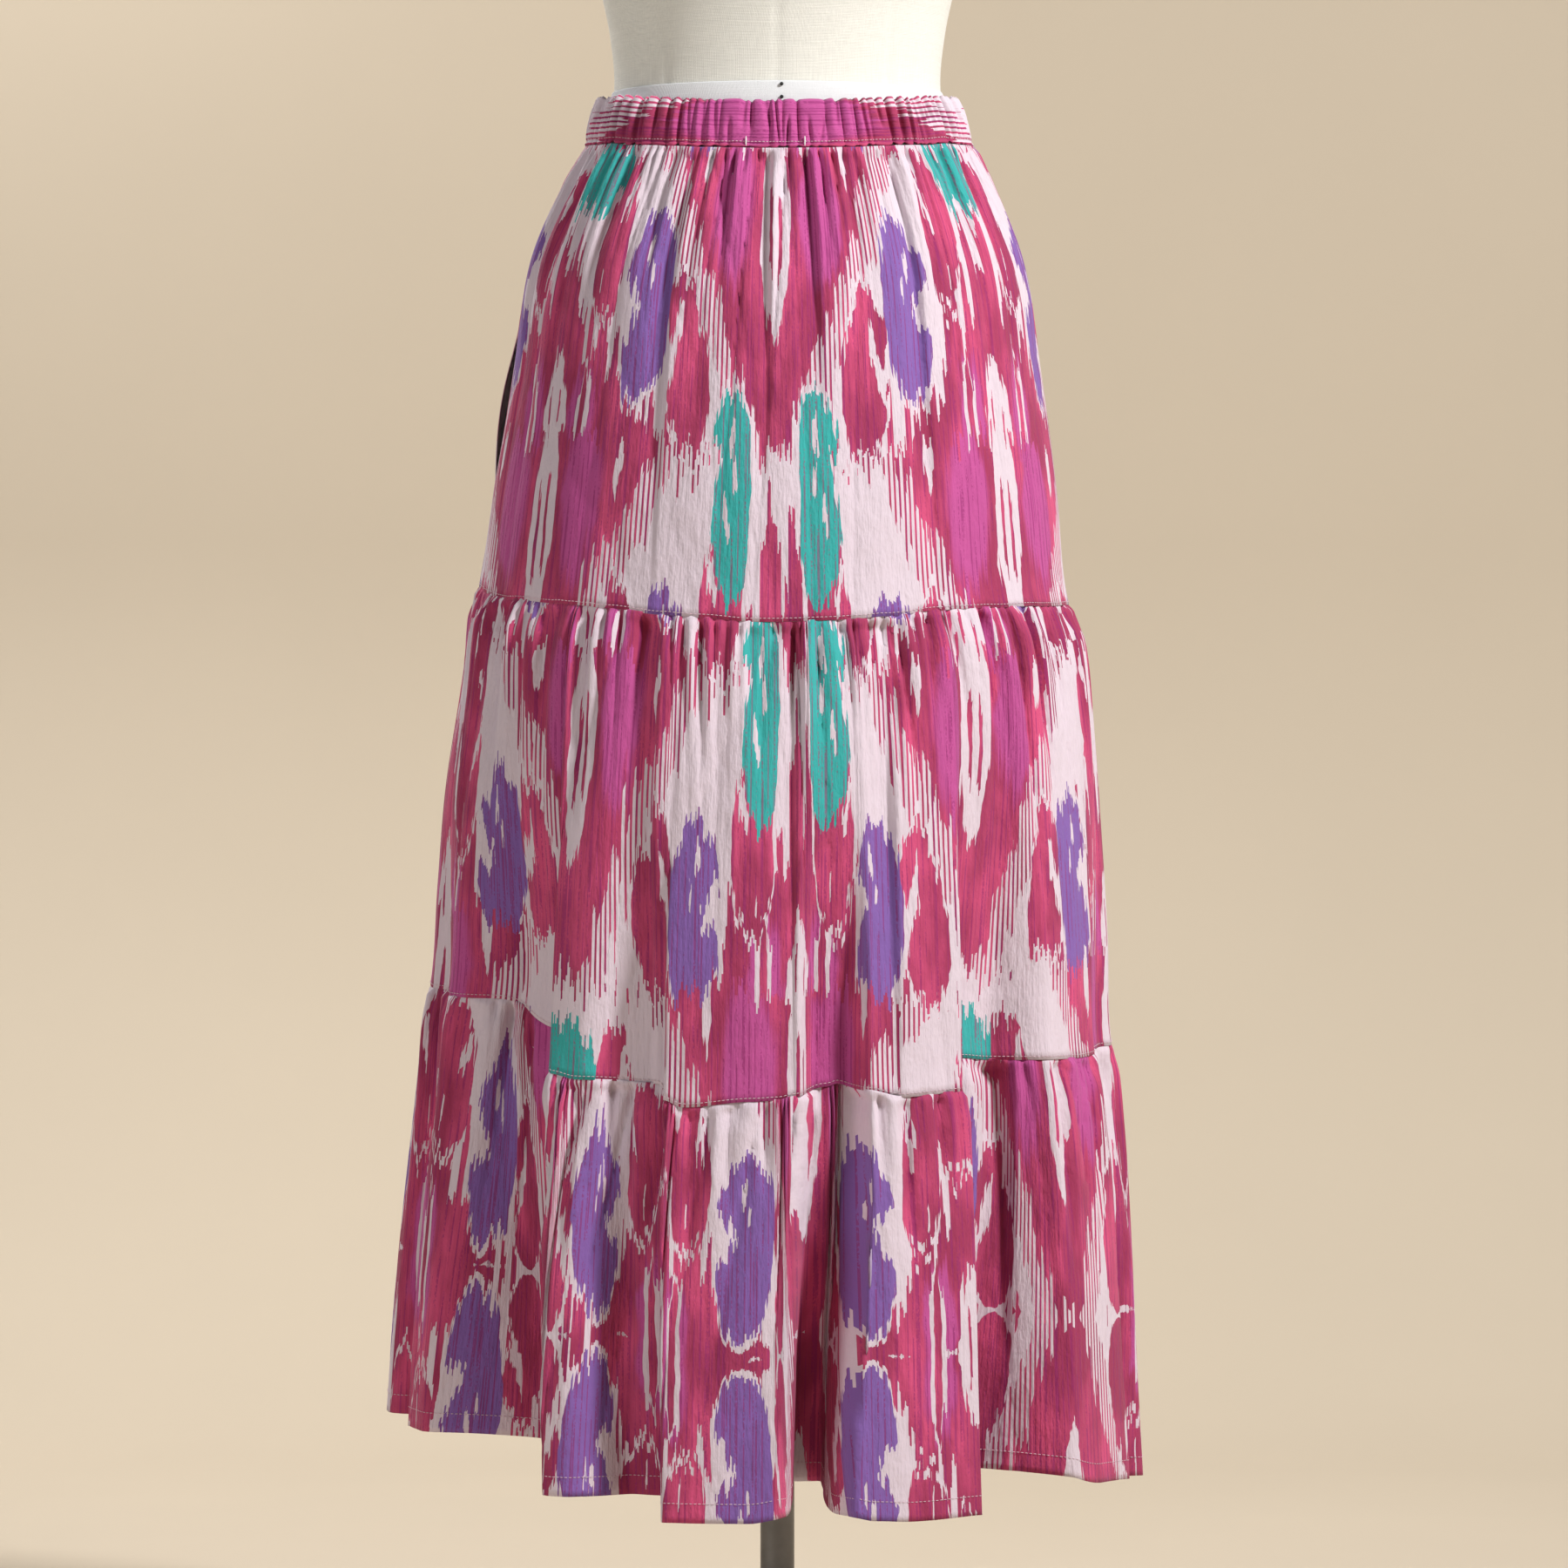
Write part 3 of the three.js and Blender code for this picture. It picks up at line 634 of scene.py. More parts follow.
# The purple motifs and ovals sit lower by ODD_DROP in every other row, and THIRD_DROP more in the third
ODD_DROP, THIRD_DROP = 48.0, 20.0
PURPLE_CHARTS = [
    [
        *[(81, 96, 118), (85, 68, 150), (91, 58, 172), (98, 50, 182)],
        *[(105, 54, 184), (111, 64, 180), (116, 76, 170), (120, 90, 152)],
    ],
]
PURPLE_HOLES = [
    [(106, 112, 116), (111, 106, 124), (116, 98, 132), (122, 92, 140)],
    [(101, 74, 86), (103, 72, 92), (105, 76, 88)],
    [(97, 94, 104), (99, 90, 108)],
]
OVAL_CHARTS = [
    [(126, 58, 92), (130, 32, 114), (137, 14, 126), (146, 10, 122), (151, 22, 106), (155, 46, 78)],
]
OVAL_HOLES = [[(131, 30, 50), (134, 34, 58), (137, 48, 60)], [(143, 90, 106), (144, 88, 108)]]
HOOK_CHARTS = [
    [(48, 158, 188), (53, 138, 208), (61, 124, 214), (70, 148, 212), (76, 168, 202), (80, 182, 190)],
    [(61, 110, 140), (66, 102, 160), (73, 104, 134), (79, 114, 154), (83, 126, 140)],
    [(146, 176, 240), (149, 160, 240), (151, 184, 240)],
]
HOOK_HOLES = [[(69, 122, 150), (72, 130, 156), (75, 140, 152)]]
TEAL_EVEN = [
    [(17, 200, 240), (22, 184, 240), (30, 176, 240), (38, 184, 240), (44, 204, 240)],
    [(152, 2, 28), (158, -12, 46), (168, -20, 54), (176, -17, 44)],
]
TEAL_ODD = [
    [(132, 40, 60), (136, 18, 86), (143, -20, 98), (150, -20, 104), (156, -20, 92), (159, -20, 60)],
]
TEAL_HOLES = [
    [(27, 198, 212), (29, 194, 222), (31, 200, 214)],
    [(140, 34, 46), (142, 28, 50), (144, 38, 46)],
    [(147, 12, 26), (149, 8, 30), (150, 14, 24)],
]
# The teal dye ends this far down the warp and across each repeat, and raspberry takes its place
TEAL_REACH, TEAL_WIDTH, TEAL_DROP = 508.0, 235.0, 46.0
HALO = 3.0  # the pale rim that is left round each motif
# Below this place down the warp the print is its own mirror image, with short pale bars where the two meet
TURN_BACK, SETTLES, BAR = 645.0, 20.0, 1.2
WASHES = [(36, 46, 17, 56), (36, -12, 10, 30), (150, 196, 12, 34)]  # centre across and down, and both radii
COMB_PITCH, COMB_SHARE, COMB_SLIP = 3.6, 0.42, 52.0
STRIPE_PITCH, STRIPE_SHARE, STRIPE_COLOUR = 4.1, 0.24, (0.25, 0.015, 0.13)
CHART_SPAN, CHART_LOWEST = 400.0, -50.0  # a colour ramp carries a chart's numbers as shares of this span


def ikat_colour(s, colours, across, down, motifs):
    """The colour of the ikat at a place on the flat cloth, in millimetres across and down the warp.

    Across, the half repeat is mirrored; down, it is flipped across in every other row, and turns back after
    three rows. Each warp thread is slipped along itself by its own amount, so every end of the dye is
    feathered. At the feet of the medallions every other stripe of threads slips much further, which makes
    combs, and at their tops wide stripes do.
    """

    def thread(width, salt):
        """A random number from 0 to 1 for each thread of a width."""
        which = s.math("FLOOR", across / width) + salt
        return Number(s, s.node("TexWhiteNoise", 0, {"W": which}, noise_dimensions="1D"))

    def swing(width, salt, reach):
        """A random slip for each thread of a width, up to half the reach either way."""
        return (thread(width, salt) - 0.5) * reach

    place = s.node("CombineXYZ", 0, {0: across, 1: down, 2: 0.0})
    drift = s.noise(place, (0.02, 0.006, 1.0), 1.0) - 0.5
    ripple = s.noise(place, (0.09, 0.03, 1.0)) - 0.5
    fine = swing(1.1, 3.3, 13.0) + swing(2.9, 7.7, 15.0)
    turned = s.math("PINGPONG", ripple * 7.0 + down, TURN_BACK)
    free = s.ramp(turned, TURN_BACK, TURN_BACK - SETTLES)
    slipped = turned + (drift * 44.0 + fine) * free
    mirrored = s.math("PINGPONG", across + (drift * 8.0 + ripple * 5.0), HALF_WIDTH)
    row = s.math("FLOORED_MODULO", slipped, 2 * HALF_HEIGHT)
    third = slipped > 2 * HALF_HEIGHT
    odd = row > HALF_HEIGHT
    x = s.math("ABSOLUTE", mirrored - odd * HALF_WIDTH)
    y = row - odd * HALF_HEIGHT
    low = y - (odd * ODD_DROP + third * THIRD_DROP)
    teal_y = y - third * TEAL_DROP

    def ends(chart):
        """The top and the foot of a chart's dye at x, which a colour ramp carries as red and green."""
        ramp = s.tree.nodes.new("ShaderNodeValToRGB")
        stops = ramp.color_ramp.elements
        stops[0].position, stops[1].position = chart[0][0] / HALF_WIDTH, chart[-1][0] / HALF_WIDTH
        for at, _, _ in chart[1:-1]:
            stops.new(at / HALF_WIDTH)
        for stop, (_, *pair) in zip(stops, chart):
            stop.color = (*[(end - CHART_LOWEST) / CHART_SPAN for end in pair], 0, 1)
        s.feed(ramp.inputs[0], x / HALF_WIDTH)
        return [part * CHART_SPAN + CHART_LOWEST for part in s.split("Color", ramp.outputs[0])[:2]]

    def dyed_in(charts, y, grow=0.0):
        """Whether the thread is dyed here by any of the charts, each let out all round."""
        found = 0.0
        for chart in charts:
            top, foot = ends(chart)
            first, last = chart[0][0], chart[-1][0]
            beyond = 9 if last == HALF_WIDTH else 0
            on = (x > first - grow) * (x < last + grow + beyond)
            on = on * (y > top - grow * 2) * (y < foot + grow * 2)
            found = s.math("MAXIMUM", found, on)
        return found * motifs

    def without(mask, holes):
        return mask * (1.0 - holes)

    def teal_dyed(grow=0.0):
        even, other = dyed_in(TEAL_EVEN, teal_y, grow), dyed_in(TEAL_ODD, y, grow)
        return even * (1.0 - odd) + other * odd

    comb = (s.math("FRACT", across / COMB_PITCH) < COMB_SHARE) * COMB_SLIP + swing(COMB_PITCH, 2.6, 24.0)
    wide = swing(4.7, 1.9, 92.0) + swing(2.3, 6.1, 34.0)
    foot, top = ends(MEDALLIONS)
    body = s.math("MAXIMUM", y - comb < foot, y + wide > top)
    body = without(body, without(dyed_in(PALE_SPINDLES, y), dyed_in(SPINDLE_STREAKS, y)))
    lower_motifs = dyed_in(PURPLE_CHARTS + OVAL_CHARTS, low, HALO)
    rims = s.math("MAXIMUM", lower_motifs, dyed_in(HOOK_CHARTS, y, HALO))
    body = without(body, s.math("MAXIMUM", rims, teal_dyed(HALO)))

    # raspberry dye, uneven along the warp, with soft orchid washes that darken at their rims
    patchy = s.ramp(s.noise(place, (0.035, 0.012, 1.0), 3.0), 0.35, 0.7)
    raspberry = s.mix(patchy, tint(colours.raspberry, 0.68), tint(colours.raspberry, 1.3, 0.02))
    raspberry = s.mix(thread(1.1, 9.9) * 0.22, raspberry, tint(colours.raspberry, 0.45))
    wash = None
    uneven = s.node("CombineXYZ", 0, {0: ripple * 9.0 + x, 1: ripple * 30.0 + y, 2: 0.0})
    for cx, cy, rx, ry in WASHES:
        scaled = s.vector("MULTIPLY_ADD", uneven, (1 / rx, 1 / ry, 0), (-cx / rx, -cy / ry, 0))
        reach = s.vector("LENGTH", scaled, output="Value")
        wash = reach if wash is None else s.math("MINIMUM", wash, reach)
    dyed = s.mix(s.ramp(wash, 1.16, 0.9) * 0.92, raspberry, colours.orchid)
    rim = s.ramp(wash, 1.2, 1.0) * s.ramp(wash, 0.8, 1.0)
    dyed = s.mix(rim * 0.35, dyed, tint(colours.raspberry, 0.8))
    bars = (fine * 0.16 + turned > TURN_BACK - BAR) * (s.noise(place, (0.03, 0.03, 1.0), 1.0) > 0.55)
    colour = s.mix(without(body, bars), colours.ground, dyed)
    teal_here = (down < TEAL_REACH) * (s.math("PINGPONG", across, 2 * HALF_WIDTH) < TEAL_WIDTH)
    anywhere = body
    for mask, dye in (
        (without(dyed_in(HOOK_CHARTS, y), dyed_in(HOOK_HOLES, y)), raspberry),
        (without(dyed_in(OVAL_CHARTS, low), dyed_in(OVAL_HOLES, low)), raspberry),
        (without(dyed_in(PURPLE_CHARTS, low), dyed_in(PURPLE_HOLES, low)), colours.purple),
        (without(teal_dyed(), dyed_in(TEAL_HOLES, y)), s.mix(teal_here, raspberry, colours.teal)),
    ):
        colour = s.mix(mask, colour, dye)
        anywhere = s.math("MAXIMUM", anywhere, mask)

    # pinstripes of darker threads, broken along their length and only where there is dye
    broken = s.noise(place, (0.24, 0.022, 1.0))
    frayed = s.noise(place, (0.9, 0.5, 1.0)) * 0.5 + (broken - 0.25)
    stripes = across / STRIPE_PITCH + swing(STRIPE_PITCH, 5.1, 0.3)
    even_ones = (s.math("FRACT", stripes) < STRIPE_SHARE) * s.ramp(frayed, 0.44, 0.52)
    odd_ones = (thread(0.95, 5.1) > 0.88) * s.ramp(frayed, 0.4, 0.56)
    dark = s.math("MAXIMUM", even_ones, odd_ones)
    return s.mix(dark * anywhere * 0.6, colour, STRIPE_COLOUR), place


def cotton_material(name, colours, turned=False, fade=0.0):
    """Light crinkled cotton: the ikat on the flat cloth's own map, slubs along the warp, weave, a sheen."""
    s = Shader(name)
    flat = s.vector("MULTIPLY", s.node("UVMap", uv_map="cloth"), MILLIMETRES)
    across, down, _ = s.split("XYZ", flat)
    if turned:
        across, down = down, across
    colour, place = ikat_colour(s, colours, across, down, 0.0 if turned else 1.0)
    slub = s.noise(place, (2.2, 0.09, 1.0), 3.0, 0.6)
    colour = s.mix(s.ramp(slub, 0.3, 0.75), s.mix(0.07, colour, (0.2, 0.05, 0.1)), colour)
    if fade:
        colour = s.mix(fade, colour, colours.ground)
    rumple = s.noise(place, (0.05, 0.028, 1.0), 4.0, 0.6)
    crinkle = s.noise(place, (0.35, 0.045, 1.0), 3.0, 0.55)
    weave = s.math("SINE", across * 14.0) * s.math("SINE", down * 14.0)
    normal = s.bump(rumple, 0.0045, 0.6)
    normal = s.bump(crinkle, 0.0015, 0.7, normal)
    normal = s.bump(slub, 0.0003, 0.6, normal)
    normal = s.bump(weave, 0.00005, 0.5, normal)
    s.set(Base_Color=colour, Roughness=0.86, Normal=normal, Specular_IOR_Level=0.25)
    s.set(Sheen_Weight=0.12, Sheen_Roughness=0.5)
    return s.material


def linen_material(name, colour, pitch, slub_strength):
    """Plain woven cloth: two crossed sets of threads as sine ridges in object space, with slubs in each."""
    s = Shader(name)
    place = s.vector("MULTIPLY", s.node("TexCoord", "Object"), MILLIMETRES)
    x, y, z = s.split("XYZ", place)
    warp = s.math("SINE", (x + y) * (6.283 / pitch))
    weft = s.math("SINE", z * (6.283 / pitch))
    slub = s.noise(place, (0.05, 0.05, 1.4), 3.0, 0.6)
    streak = s.noise(place, (1.4, 1.4, 0.05), 3.0, 0.6)
    both = slub * 0.5 + streak * 0.5
    shade = s.mix(s.ramp(both, 0.35, 0.65), tint(colour, 1 - slub_strength), colour)
    normal = s.bump(both, 0.0004, 0.7)
    normal = s.bump(s.math("MAXIMUM", warp, weft), 0.00012, 0.6, normal)
    s.set(Base_Color=shade, Roughness=0.9, Normal=normal, Specular_IOR_Level=0.2, Sheen_Weight=0.08)
    return s.material


def thread_material(name, colour):
    """Twisted sewing thread: fine noise in object space that varies its colour."""
    s = Shader(name)
    twist = s.noise(s.node("TexCoord", "Object"), (3000.0, 3000.0, 5000.0), 1.0)
    s.set(Base_Color=s.mix(twist, tint(colour, 0.7), colour), Roughness=0.6)
    return s.material


def metal_material(name, colour):
    """Satin metal, brushed round the pole: noise stretched round it in roughness and bump."""
    s = Shader(name)
    place = s.node("TexCoord", "Object")
    brushed = s.noise(place, (40.0, 40.0, 2500.0), 3.0)
    wear = s.ramp(s.noise(place, (18.0, 18.0, 18.0), 4.0, 0.6), 0.4, 0.7)
    s.set(Base_Color=s.mix(wear, colour, tint(colour, 1.35)), Metallic=0.6)
    s.set(Roughness=brushed * 0.2 + 0.26, Normal=s.bump(brushed, 0.00005, 0.4))
    return s.material


FLOOR_FADES, FLOOR_ENDS = 3.4, 5.0  # metres from the pole


def floor_material(name, colour):
    """A pale sweep, faintly mottled, that ends softly far out and is clear from its back, to hide nothing."""
    s = Shader(name)
    place = s.node("TexCoord", "Object")
    mottle = s.noise(place, (3.0, 3.0, 3.0), 3.0)
    s.set(Base_Color=s.mix(mottle, tint(colour, 0.95), colour), Roughness=0.9, Specular_IOR_Level=0.2)
    far = s.node("MapRange", 0, {0: s.vector("LENGTH", place, output="Value"), 1: FLOOR_FADES, 2: FLOOR_ENDS})
    clear = s.math("MAXIMUM", s.node("NewGeometry", "Backfacing"), far)
    see_through = s.node("BsdfTransparent", "BSDF")
    s.feed(s.output, s.node("MixShader", 0, {0: clear, 1: s.surface.outputs["BSDF"], 2: see_through}))
    return s.material


def get_material(name, make, *args, **settings):
    """The material of that name, made the first time it is asked for."""
    return bpy.data.materials.get(name) or make(name, *args, **settings)


# ---------------------------------------------------------------- operators


class SKIRT_OT_tiers(bpy.types.Operator):
    """Makes the front and back panel of the three gathered tiers"""

    bl_idname = "skirt.tiers"
    bl_label = "Tiers"

    def execute(self, context):
        settings = context.scene.skirt
        outside = get_material("ikat_cotton", cotton_material, settings)
        inside = get_material("ikat_cotton_inside", cotton_material, settings, fade=0.5)
        for tier in TIERS:
            for half in ("front", "back"):
                columns = settings.columns if half == "front" else settings.columns * 3 // 5
                points = tier_grid(tier, half, columns, ROWS[half])
                wide = run_length(points)[int(ROWS[half] * 0.8)]
                steps = np.linalg.norm(np.diff(points, axis=0), axis=-1).mean(1)
                down = np.concatenate([[0], np.cumsum(steps)])
                start, top = PRINT_START[tier]
                u = (np.linspace(0, 1, columns + 1) - 0.5) * wide + start
                if half == "back":
                    u = u + BACK_SHIFT
                uv = u[None, :], down[:, None] + top
                faces = grid_faces(ROWS[half] + 1, columns + 1)
                obj = make_object(f"{tier}_tier_{half}_cloth", points, faces, outside, uv)
                solidify(obj, settings.thickness, inside)
                finish_piece(obj, "cotton", f"{tier}_tier_{half}")
        return {"FINISHED"}


class SKIRT_OT_waistband(bpy.types.Operator):
    """Makes the gathered casing of the elastic round the waist"""

    bl_idname = "skirt.waistband"
    bl_label = "Waistband"

    def execute(self, context):
        """The casing's section runs up the outside, over the top and down the inside.

        The outside is rolled at its stitched foot, swells above it and carries the gathers.
        """
        settings = context.scene.skirt
        angle = np.linspace(-180, 180, 1201)[None, :-1]
        outside = np.concatenate([[0, 0.015, 0.035, 0.055, 0.075, 0.095, 0.12], np.linspace(0.16, 1, 16)])
        up = np.concatenate([outside, np.linspace(1, 0, 9)[1:]])[:, None]
        is_out = np.arange(len(up))[:, None] < len(outside)
        point, normal = quarter_ellipses(angle, *(foot + (top - foot) * up for foot, top in BAND_INSIDE))
        across = (angle + 180) / 360
        swell = np.sin(np.pi * np.clip((up - 0.09) / 0.91, 0, 1)) ** 0.45
        roll = np.exp(-(((up - 0.035) / 0.03) ** 2))
        gathers = ridges(across, 0 * up, 68, 1.0, 1, 5, 0.55)
        tucks = band_tucks(across, up)
        out = 2.2 + 1.9 * swell + 1.3 * roll + (4.8 * gathers + tucks) * (0.4 + 0.6 * swell)
        out = np.where(is_out, np.clip(out, 0.6, None), 0.0)
        flat = point + normal * out[..., None]
        lift = height(np.zeros_like(angle), angle) - SEAM_Z[0]
        edges = 1.6 * smooth((up - 0.8) / 0.2) - 1.2 * smooth((0.06 - up) / 0.06)
        ruffle = (gathers + 0.35 * tucks) * edges
        z = SEAM_Z[0] + 0.4 + (BAND_TOP_Z - SEAM_Z[0] - 1.2) * up + lift + ruffle
        points = np.dstack([flat, z])
        rows, columns = points.shape[:2]
        faces = grid_faces(rows + 1, columns, closed=True) % (rows * columns)
        # the print is the same to both sides of the middle, which lies just left of the centre front
        uv = np.abs(across - 0.497) * 700.0 + 40.0, np.where(is_out, up, 2 - up) * 34.0 + 18.0
        cloth = get_material("ikat_cotton_across", cotton_material, settings, turned=True)
        obj = make_object("waistband_casing", points, faces, cloth, uv)
        finish_piece(obj, "band_cotton", "waistband")

        thread = get_material("sewing_thread", thread_material, settings.thread)
        finish_piece(stitch_row("waistband_stitches", points[6], 2.7, 2.0, 0.6, thread, 0.3), "band_cotton")
        white = get_material("tacking_thread", thread_material, (0.9, 0.88, 0.85))
        for k, at in enumerate((-9.3, 8.0)):
            here = points[5, int(round((at + 180) / 0.3))]
            tack = bead(f"tack_{k + 1}", here + [0, -1.2, 1.0], (0.55, 0.5, 3.6), white)
            finish_piece(tack, "band_cotton")
        return {"FINISHED"}


class SKIRT_OT_pocket(bpy.types.Operator):
    """Makes the in-seam pocket's bag inside the front panel"""

    bl_idname = "skirt.pocket"
    bl_label = "Pocket"

    def execute(self, context):
        """A pad whose outside follows the front panel and whose inside lies BAG_THICKNESS further in."""
        settings = context.scene.skirt
        angles = even_angles(3.0, -90, 90, 60)[:17]
        level = np.linspace(POCKET_TOP, BAG_FOOT, 40)[:, None]
        reach = spline(level, np.array([0.42, 0.595, 0.77, 0.92]), np.array([0.7, 1, 0.85, 0.55]))
        angle = np.interp(np.linspace(0, 1, 33)[None, :] * reach * 16, np.arange(17), angles)
        out = pocket_gape(level, angle, False) - 1.9 - 3.38 * np.exp(-level / 0.3)
        outer, inner = (skirt_point(level + 0 * angle, angle, out - thick) for thick in (0, BAG_THICKNESS))
        ring = np.concatenate([outer, inner[:, ::-1]], 1)
        rows, columns = ring.shape[:2]
        half = np.arange(32)
        cap = np.stack([half, half + 1, columns - 2 - half, columns - 1 - half], -1)
        end = cap[:, ::-1] + (rows - 1) * columns
        faces = np.concatenate([grid_faces(rows, columns, closed=True), cap, end])
        across = np.concatenate([np.arange(33), np.arange(33)[::-1]]) * BAG_STEP + 40
        cloth = get_material("ikat_cotton_inside", cotton_material, settings, fade=0.5)
        obj = make_object("pocket_bag_cloth", ring, faces, cloth, (across[None, :], level * LEVEL_LENGTH))
        finish_piece(obj, "cotton", "pocket_bag")
        return {"FINISHED"}


class SKIRT_OT_stitching(bpy.types.Operator):
    """Makes the rows of stitches above the seams and the hem"""

    bl_idname = "skirt.stitching"
    bl_label = "Stitching"

    def execute(self, context):
        """Each row follows the cloth's own grid a fixed way above its lower edge."""
        settings = context.scene.skirt
        thread = get_material("sewing_thread", thread_material, settings.thread)
        for tier, above in (("upper", 2.4), ("middle", 2.4), ("lower", 13.0)):
            for half in ("front", "back"):
                points = tier_grid(tier, half, 400, 100)
                up = points[-12] - points[-1]
                path = points[-1] + up * above / np.linalg.norm(up, axis=-1)[:, None]
                obj = stitch_row(f"{tier}_stitches_{half}", path, 3.0, 2.2, 0.55, thread, 0.45)
                finish_piece(obj, "cotton")
        return {"FINISHED"}


class SKIRT_OT_dress_form(bpy.types.Operator):
    """Makes the linen form, its seams, the waist tape and the pins"""

    bl_idname = "skirt.dress_form"
    bl_label = "Dress form"

    def execute(self, context):
        """Rings whose sizes follow smooth curves up the form, with a shallow groove along each seam."""
        settings = context.scene.dress_form
        linen = get_material("form_linen", linen_material, settings.linen, 0.85, 0.1)
        z = np.concatenate([np.linspace(860.5, 1470, 150), np.linspace(1471, 1592.5, 60)])[:, None]
        angle = np.linspace(-180, 180, 241)[None, :-1]
        point, normal = quarter_ellipses(angle, *form_sizes(z))
        groove = 0
        for at in FORM_SEAMS:
            away = (np.mod(angle - at + 180, 360) - 180) / 1.4
            groove = groove + 0.7 * np.exp(-away * away) * (z < 1500)
        flat = point - normal * (groove + 0.05)[..., None]
        points = np.dstack([flat, z + 0 * angle])
        rows, columns = points.shape[:2]

        def end_ring(row, share, rise):
            """The first or last ring drawn in towards its own middle."""
            return points[row].mean(0) * (1 - share) + points[row] * share + [0, 0, rise]

        foot = [end_ring(0, 0.02, 0), end_ring(0, 0.6, 0)]
        top = [end_ring(-1, 0.9, 0.3), end_ring(-1, 0.02, 0.3)]
        faces = grid_faces(rows + 4, columns, closed=True)[:, [0, 3, 2, 1]]
        obj = make_object("form_torso", np.concatenate([foot, points, top]), faces, linen)
        finish_piece(obj, "linen", "dress_form")

        cotton = get_material("twill_tape", linen_material, tint(settings.tape, 0.9), 0.6, 0.05)
        profile = np.array(
            [(0.3, 1098), (1.0, 1098), (1.4, 1099), (1.45, 1111), (1.4, 1124), (1.0, 1125), (0.3, 1125)]
        )
        out, at = profile[:, :1], profile[:, 1:]
        ring, normal = quarter_ellipses(angle, *form_sizes(at))
        tape = np.dstack([ring + normal * out[..., None], at + 0 * angle])
        faces = grid_faces(len(profile) + 1, columns, closed=True) % (len(profile) * columns)
        obj = make_object("waist_tape_twill", tape, faces[:, ::-1], cotton)
        finish_piece(obj, "white_tape", "waist_tape")

        dark = get_material("pin_heads", metal_material, (0.02, 0.02, 0.02))
        for k, (at, level) in enumerate([(1.5, 1113.5), (1.5, 1122.5), (-42, 1114.5), (45, 1115)]):
            centre, _ = quarter_ellipses(np.float64(at), *form_sizes(level, 2.2))
            finish_piece(bead(f"pin_{k + 1}", [*centre, level], (1.3, 1.3, 1.3), dark), "steel")
        return {"FINISHED"}


class SKIRT_OT_stand(bpy.types.Operator):
    """Makes the pole and the weighted round base"""

    bl_idname = "skirt.stand"
    bl_label = "Stand"

    def execute(self, context):
        """Profiles of radius and height turned round the pole's axis."""
        settings = context.scene.dress_form
        metal = get_material("satin_metal", metal_material, settings.metal)
        base = [
            *[(0.02, 0), (186, 0), (189.3, 1), (190, 4), (189, 9), (187, 11.4), (120, 13.8), (60, 17)],
            *[(52, 18.5), (40, 23), (32, 29), (30, 33), (27.4, 44), (26, 46), (12.4, 46), (0.02, 46)],
        ]
        r = settings.pole_radius * 1000
        pole = [(0.02, 46.4), (r - 0.4, 46.4), (r, 47), (r, 859), (r - 0.4, 859.6), (0.02, 859.6)]
        for name, profile, node in (("round_base", base, "stand_base"), ("pole_tube", pole, "stand_pole")):
            profile = np.array(profile, float)
            run = running(profile)
            dense = np.unique(np.concatenate([run, np.linspace(0, run[-1], 90)]))
            radius, z = (np.interp(dense, run, profile[:, k])[:, None] for k in (0, 1))
            turn = np.linspace(0, 2 * np.pi, 97)[None, :-1]
            points = np.stack([radius * np.cos(turn), radius * np.sin(turn), z + 0 * turn], -1)
            obj = make_object(name, points, grid_faces(len(dense), 96, closed=True)[:, ::-1], metal)
            finish_piece(obj, "steel", node)
        return {"FINISHED"}


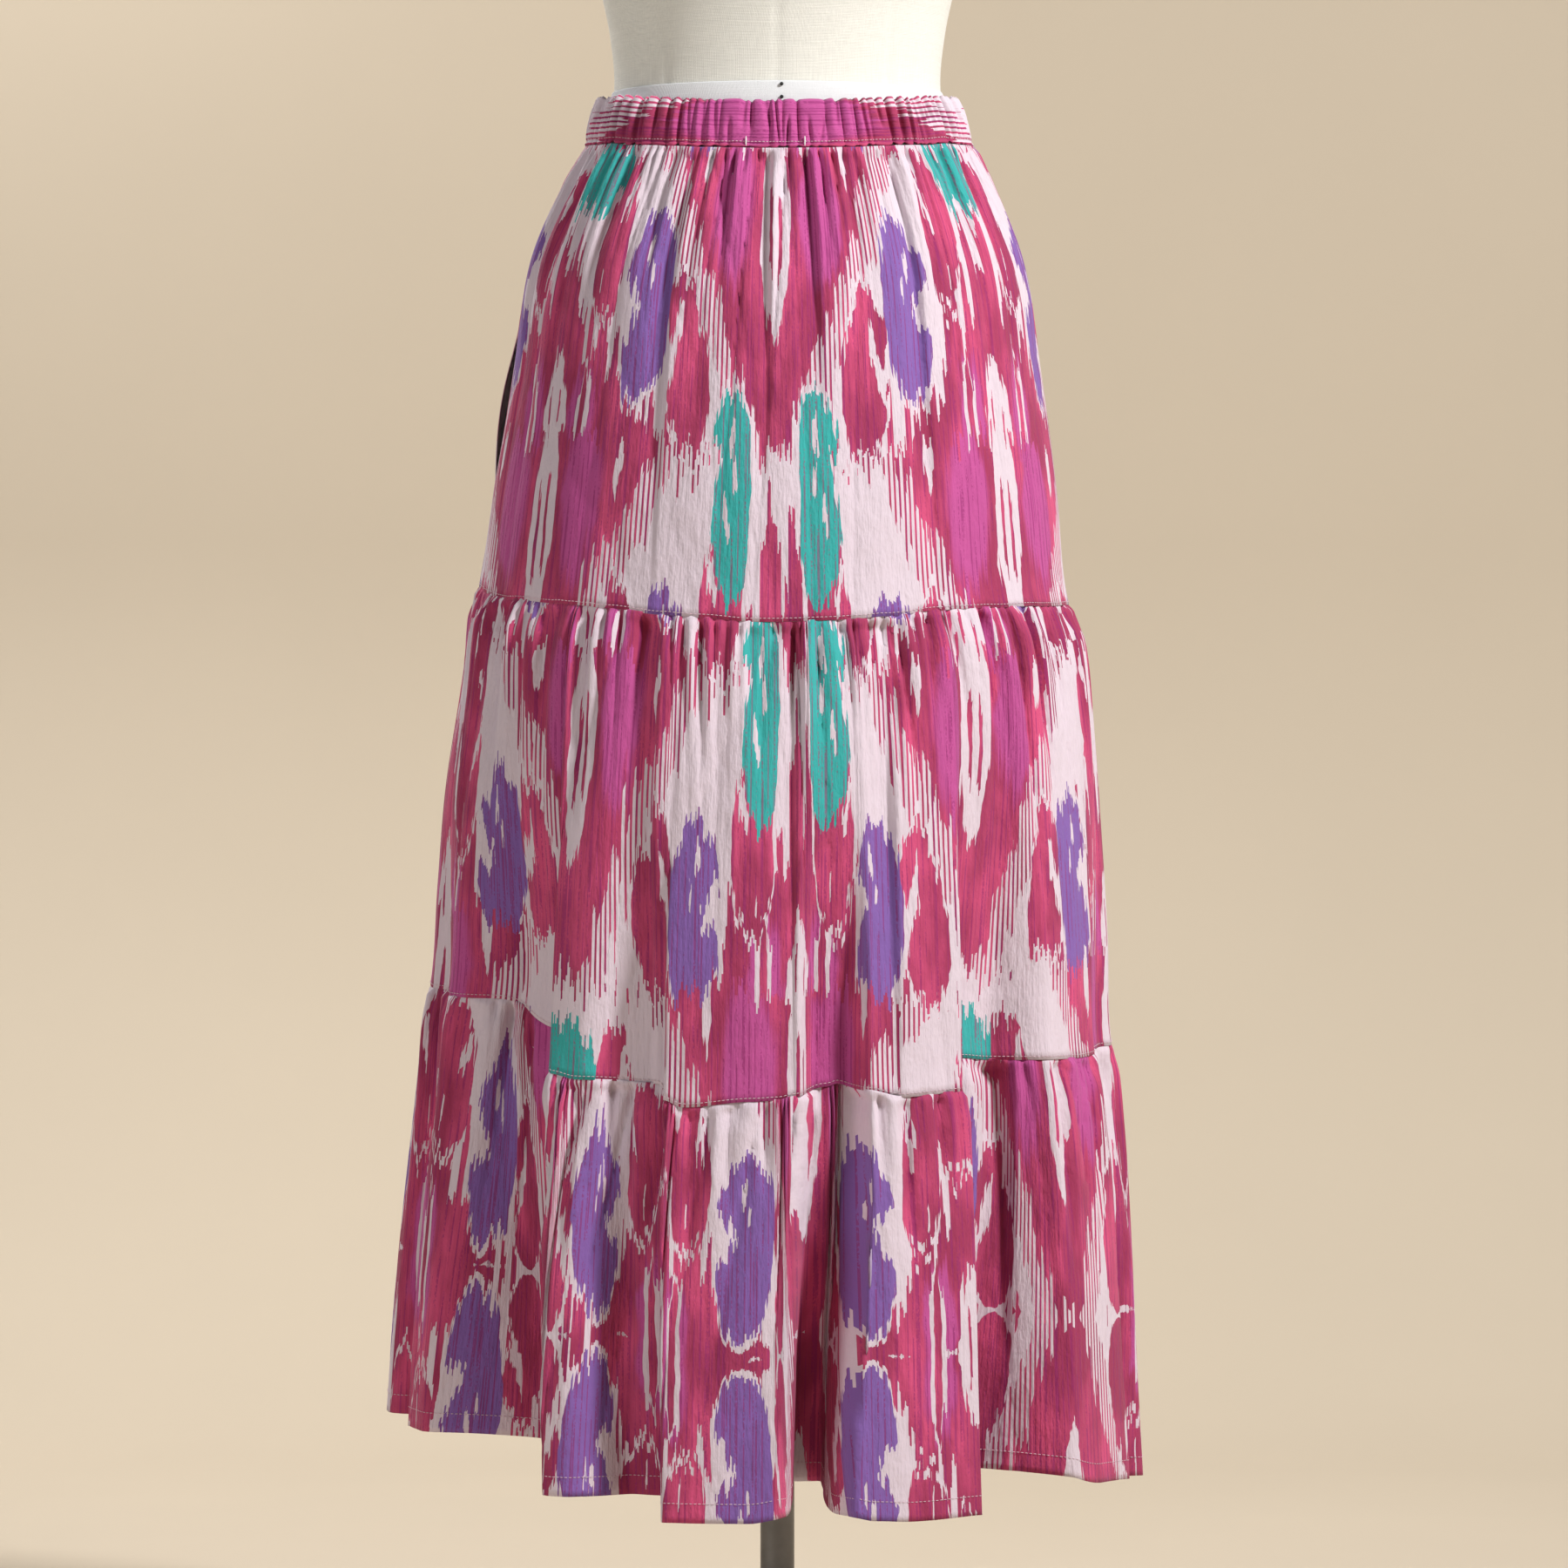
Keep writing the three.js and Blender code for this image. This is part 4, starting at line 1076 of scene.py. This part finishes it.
class SKIRT_OT_studio(bpy.types.Operator):
    """Makes the pale floor with its sweep, the soft lights and the camera"""

    bl_idname = "skirt.studio"
    bl_label = "Studio"

    def execute(self, context):
        """The sweep runs level from before the stand to behind it, then turns up in a quarter circle."""
        settings, scene = context.scene.studio, context.scene
        turn = np.linspace(0, np.pi / 2, 24)
        y = np.concatenate([[-9000, 1500], 1500 + 900 * np.sin(turn), [2400]])
        z = np.concatenate([[0, 0], 900 - 900 * np.cos(turn), [6000]]) - 0.4
        x = np.array([-6000.0, 6000.0])
        points = np.stack(np.broadcast_arrays(x[None, :], y[:, None], z[:, None]), -1)
        floor = get_material("pale_sweep", floor_material, settings.floor)
        sweep = make_object("studio_sweep", points, grid_faces(len(y), 2)[:, ::-1], floor)

        for name, place, aim, size, power in (
            ("key", (2.4, -1.7, 3.0), (0, 0, 0.9), 0.6, 180),
            ("fill", (-2.8, -2.4, 1.7), (0, 0, 0.7), 1.4, 42),
            ("rear", (-1.3, 2.0, 2.6), (0, 0, 0.8), 1.2, 60),
        ):
            light = bpy.data.lights.new(name, "AREA")
            light.shape, light.size, light.energy = "DISK", size, power
            lamp = bpy.data.objects.new(name, light)
            lamp.location = place
            lamp.rotation_euler = (Vector(aim) - Vector(place)).to_track_quat("-Z", "Y").to_euler()
            scene.collection.objects.link(lamp)
        world = bpy.data.worlds.new("studio_air")
        world.use_nodes = True
        tree = world.node_tree
        air, wall = tree.nodes["Background"], tree.nodes.new("ShaderNodeBackground")
        air.inputs["Color"].default_value, air.inputs["Strength"].default_value = (0.9, 0.93, 1.0, 1), 0.05
        wall.inputs["Color"].default_value, wall.inputs["Strength"].default_value = (*settings.floor, 1), 0.7
        seen, either = tree.nodes.new("ShaderNodeLightPath"), tree.nodes.new("ShaderNodeMixShader")
        tree.links.new(seen.outputs["Is Camera Ray"], either.inputs[0])
        tree.links.new(air.outputs[0], either.inputs[1])
        tree.links.new(wall.outputs[0], either.inputs[2])
        tree.links.new(either.outputs[0], tree.nodes["World Output"].inputs["Surface"])
        scene.world = world
        scene.view_settings.view_transform = "Standard"

        camera = bpy.data.objects.new("camera", bpy.data.cameras.new("camera"))
        camera.data.lens, camera.data.sensor_width = settings.lens, 36
        camera.data.clip_start, camera.data.clip_end = 0.1, 100
        camera.location = (0.0047, -settings.distance, settings.eye_height)
        camera.rotation_euler = (np.pi / 2, 0, 0)
        scene.collection.objects.link(camera)
        scene.camera = camera
        return {"FINISHED"}


class SKIRT_PT_panel(bpy.types.Panel):
    """Lists the skirt's pieces and their settings"""

    bl_label = "Skirt"
    bl_idname = "SKIRT_PT_panel"
    bl_space_type = "VIEW_3D"
    bl_region_type = "UI"
    bl_category = "Skirt"

    def draw(self, context):
        for group in (context.scene.skirt, context.scene.dress_form, context.scene.studio):
            box = self.layout.box()
            for name in group.__annotations__:
                box.prop(group, name)
        for operator in OPERATORS:
            self.layout.operator(operator.bl_idname)


OPERATORS = (
    SKIRT_OT_dress_form,
    SKIRT_OT_stand,
    SKIRT_OT_waistband,
    SKIRT_OT_tiers,
    SKIRT_OT_pocket,
    SKIRT_OT_stitching,
    SKIRT_OT_studio,
)
CLASSES = (SkirtSettings, FormSettings, StudioSettings, *OPERATORS, SKIRT_PT_panel)


def register():
    for cls in CLASSES:
        bpy.utils.register_class(cls)
    bpy.types.Scene.skirt = PointerProperty(type=SkirtSettings)
    bpy.types.Scene.dress_form = PointerProperty(type=FormSettings)
    bpy.types.Scene.studio = PointerProperty(type=StudioSettings)


def unregister():
    del bpy.types.Scene.studio, bpy.types.Scene.dress_form, bpy.types.Scene.skirt
    for cls in reversed(CLASSES):
        bpy.utils.unregister_class(cls)


def main():
    register()
    for operator in OPERATORS:
        group, name = operator.bl_idname.split(".")
        getattr(getattr(bpy.ops, group), name)()


if __name__ == "__main__":
    main()
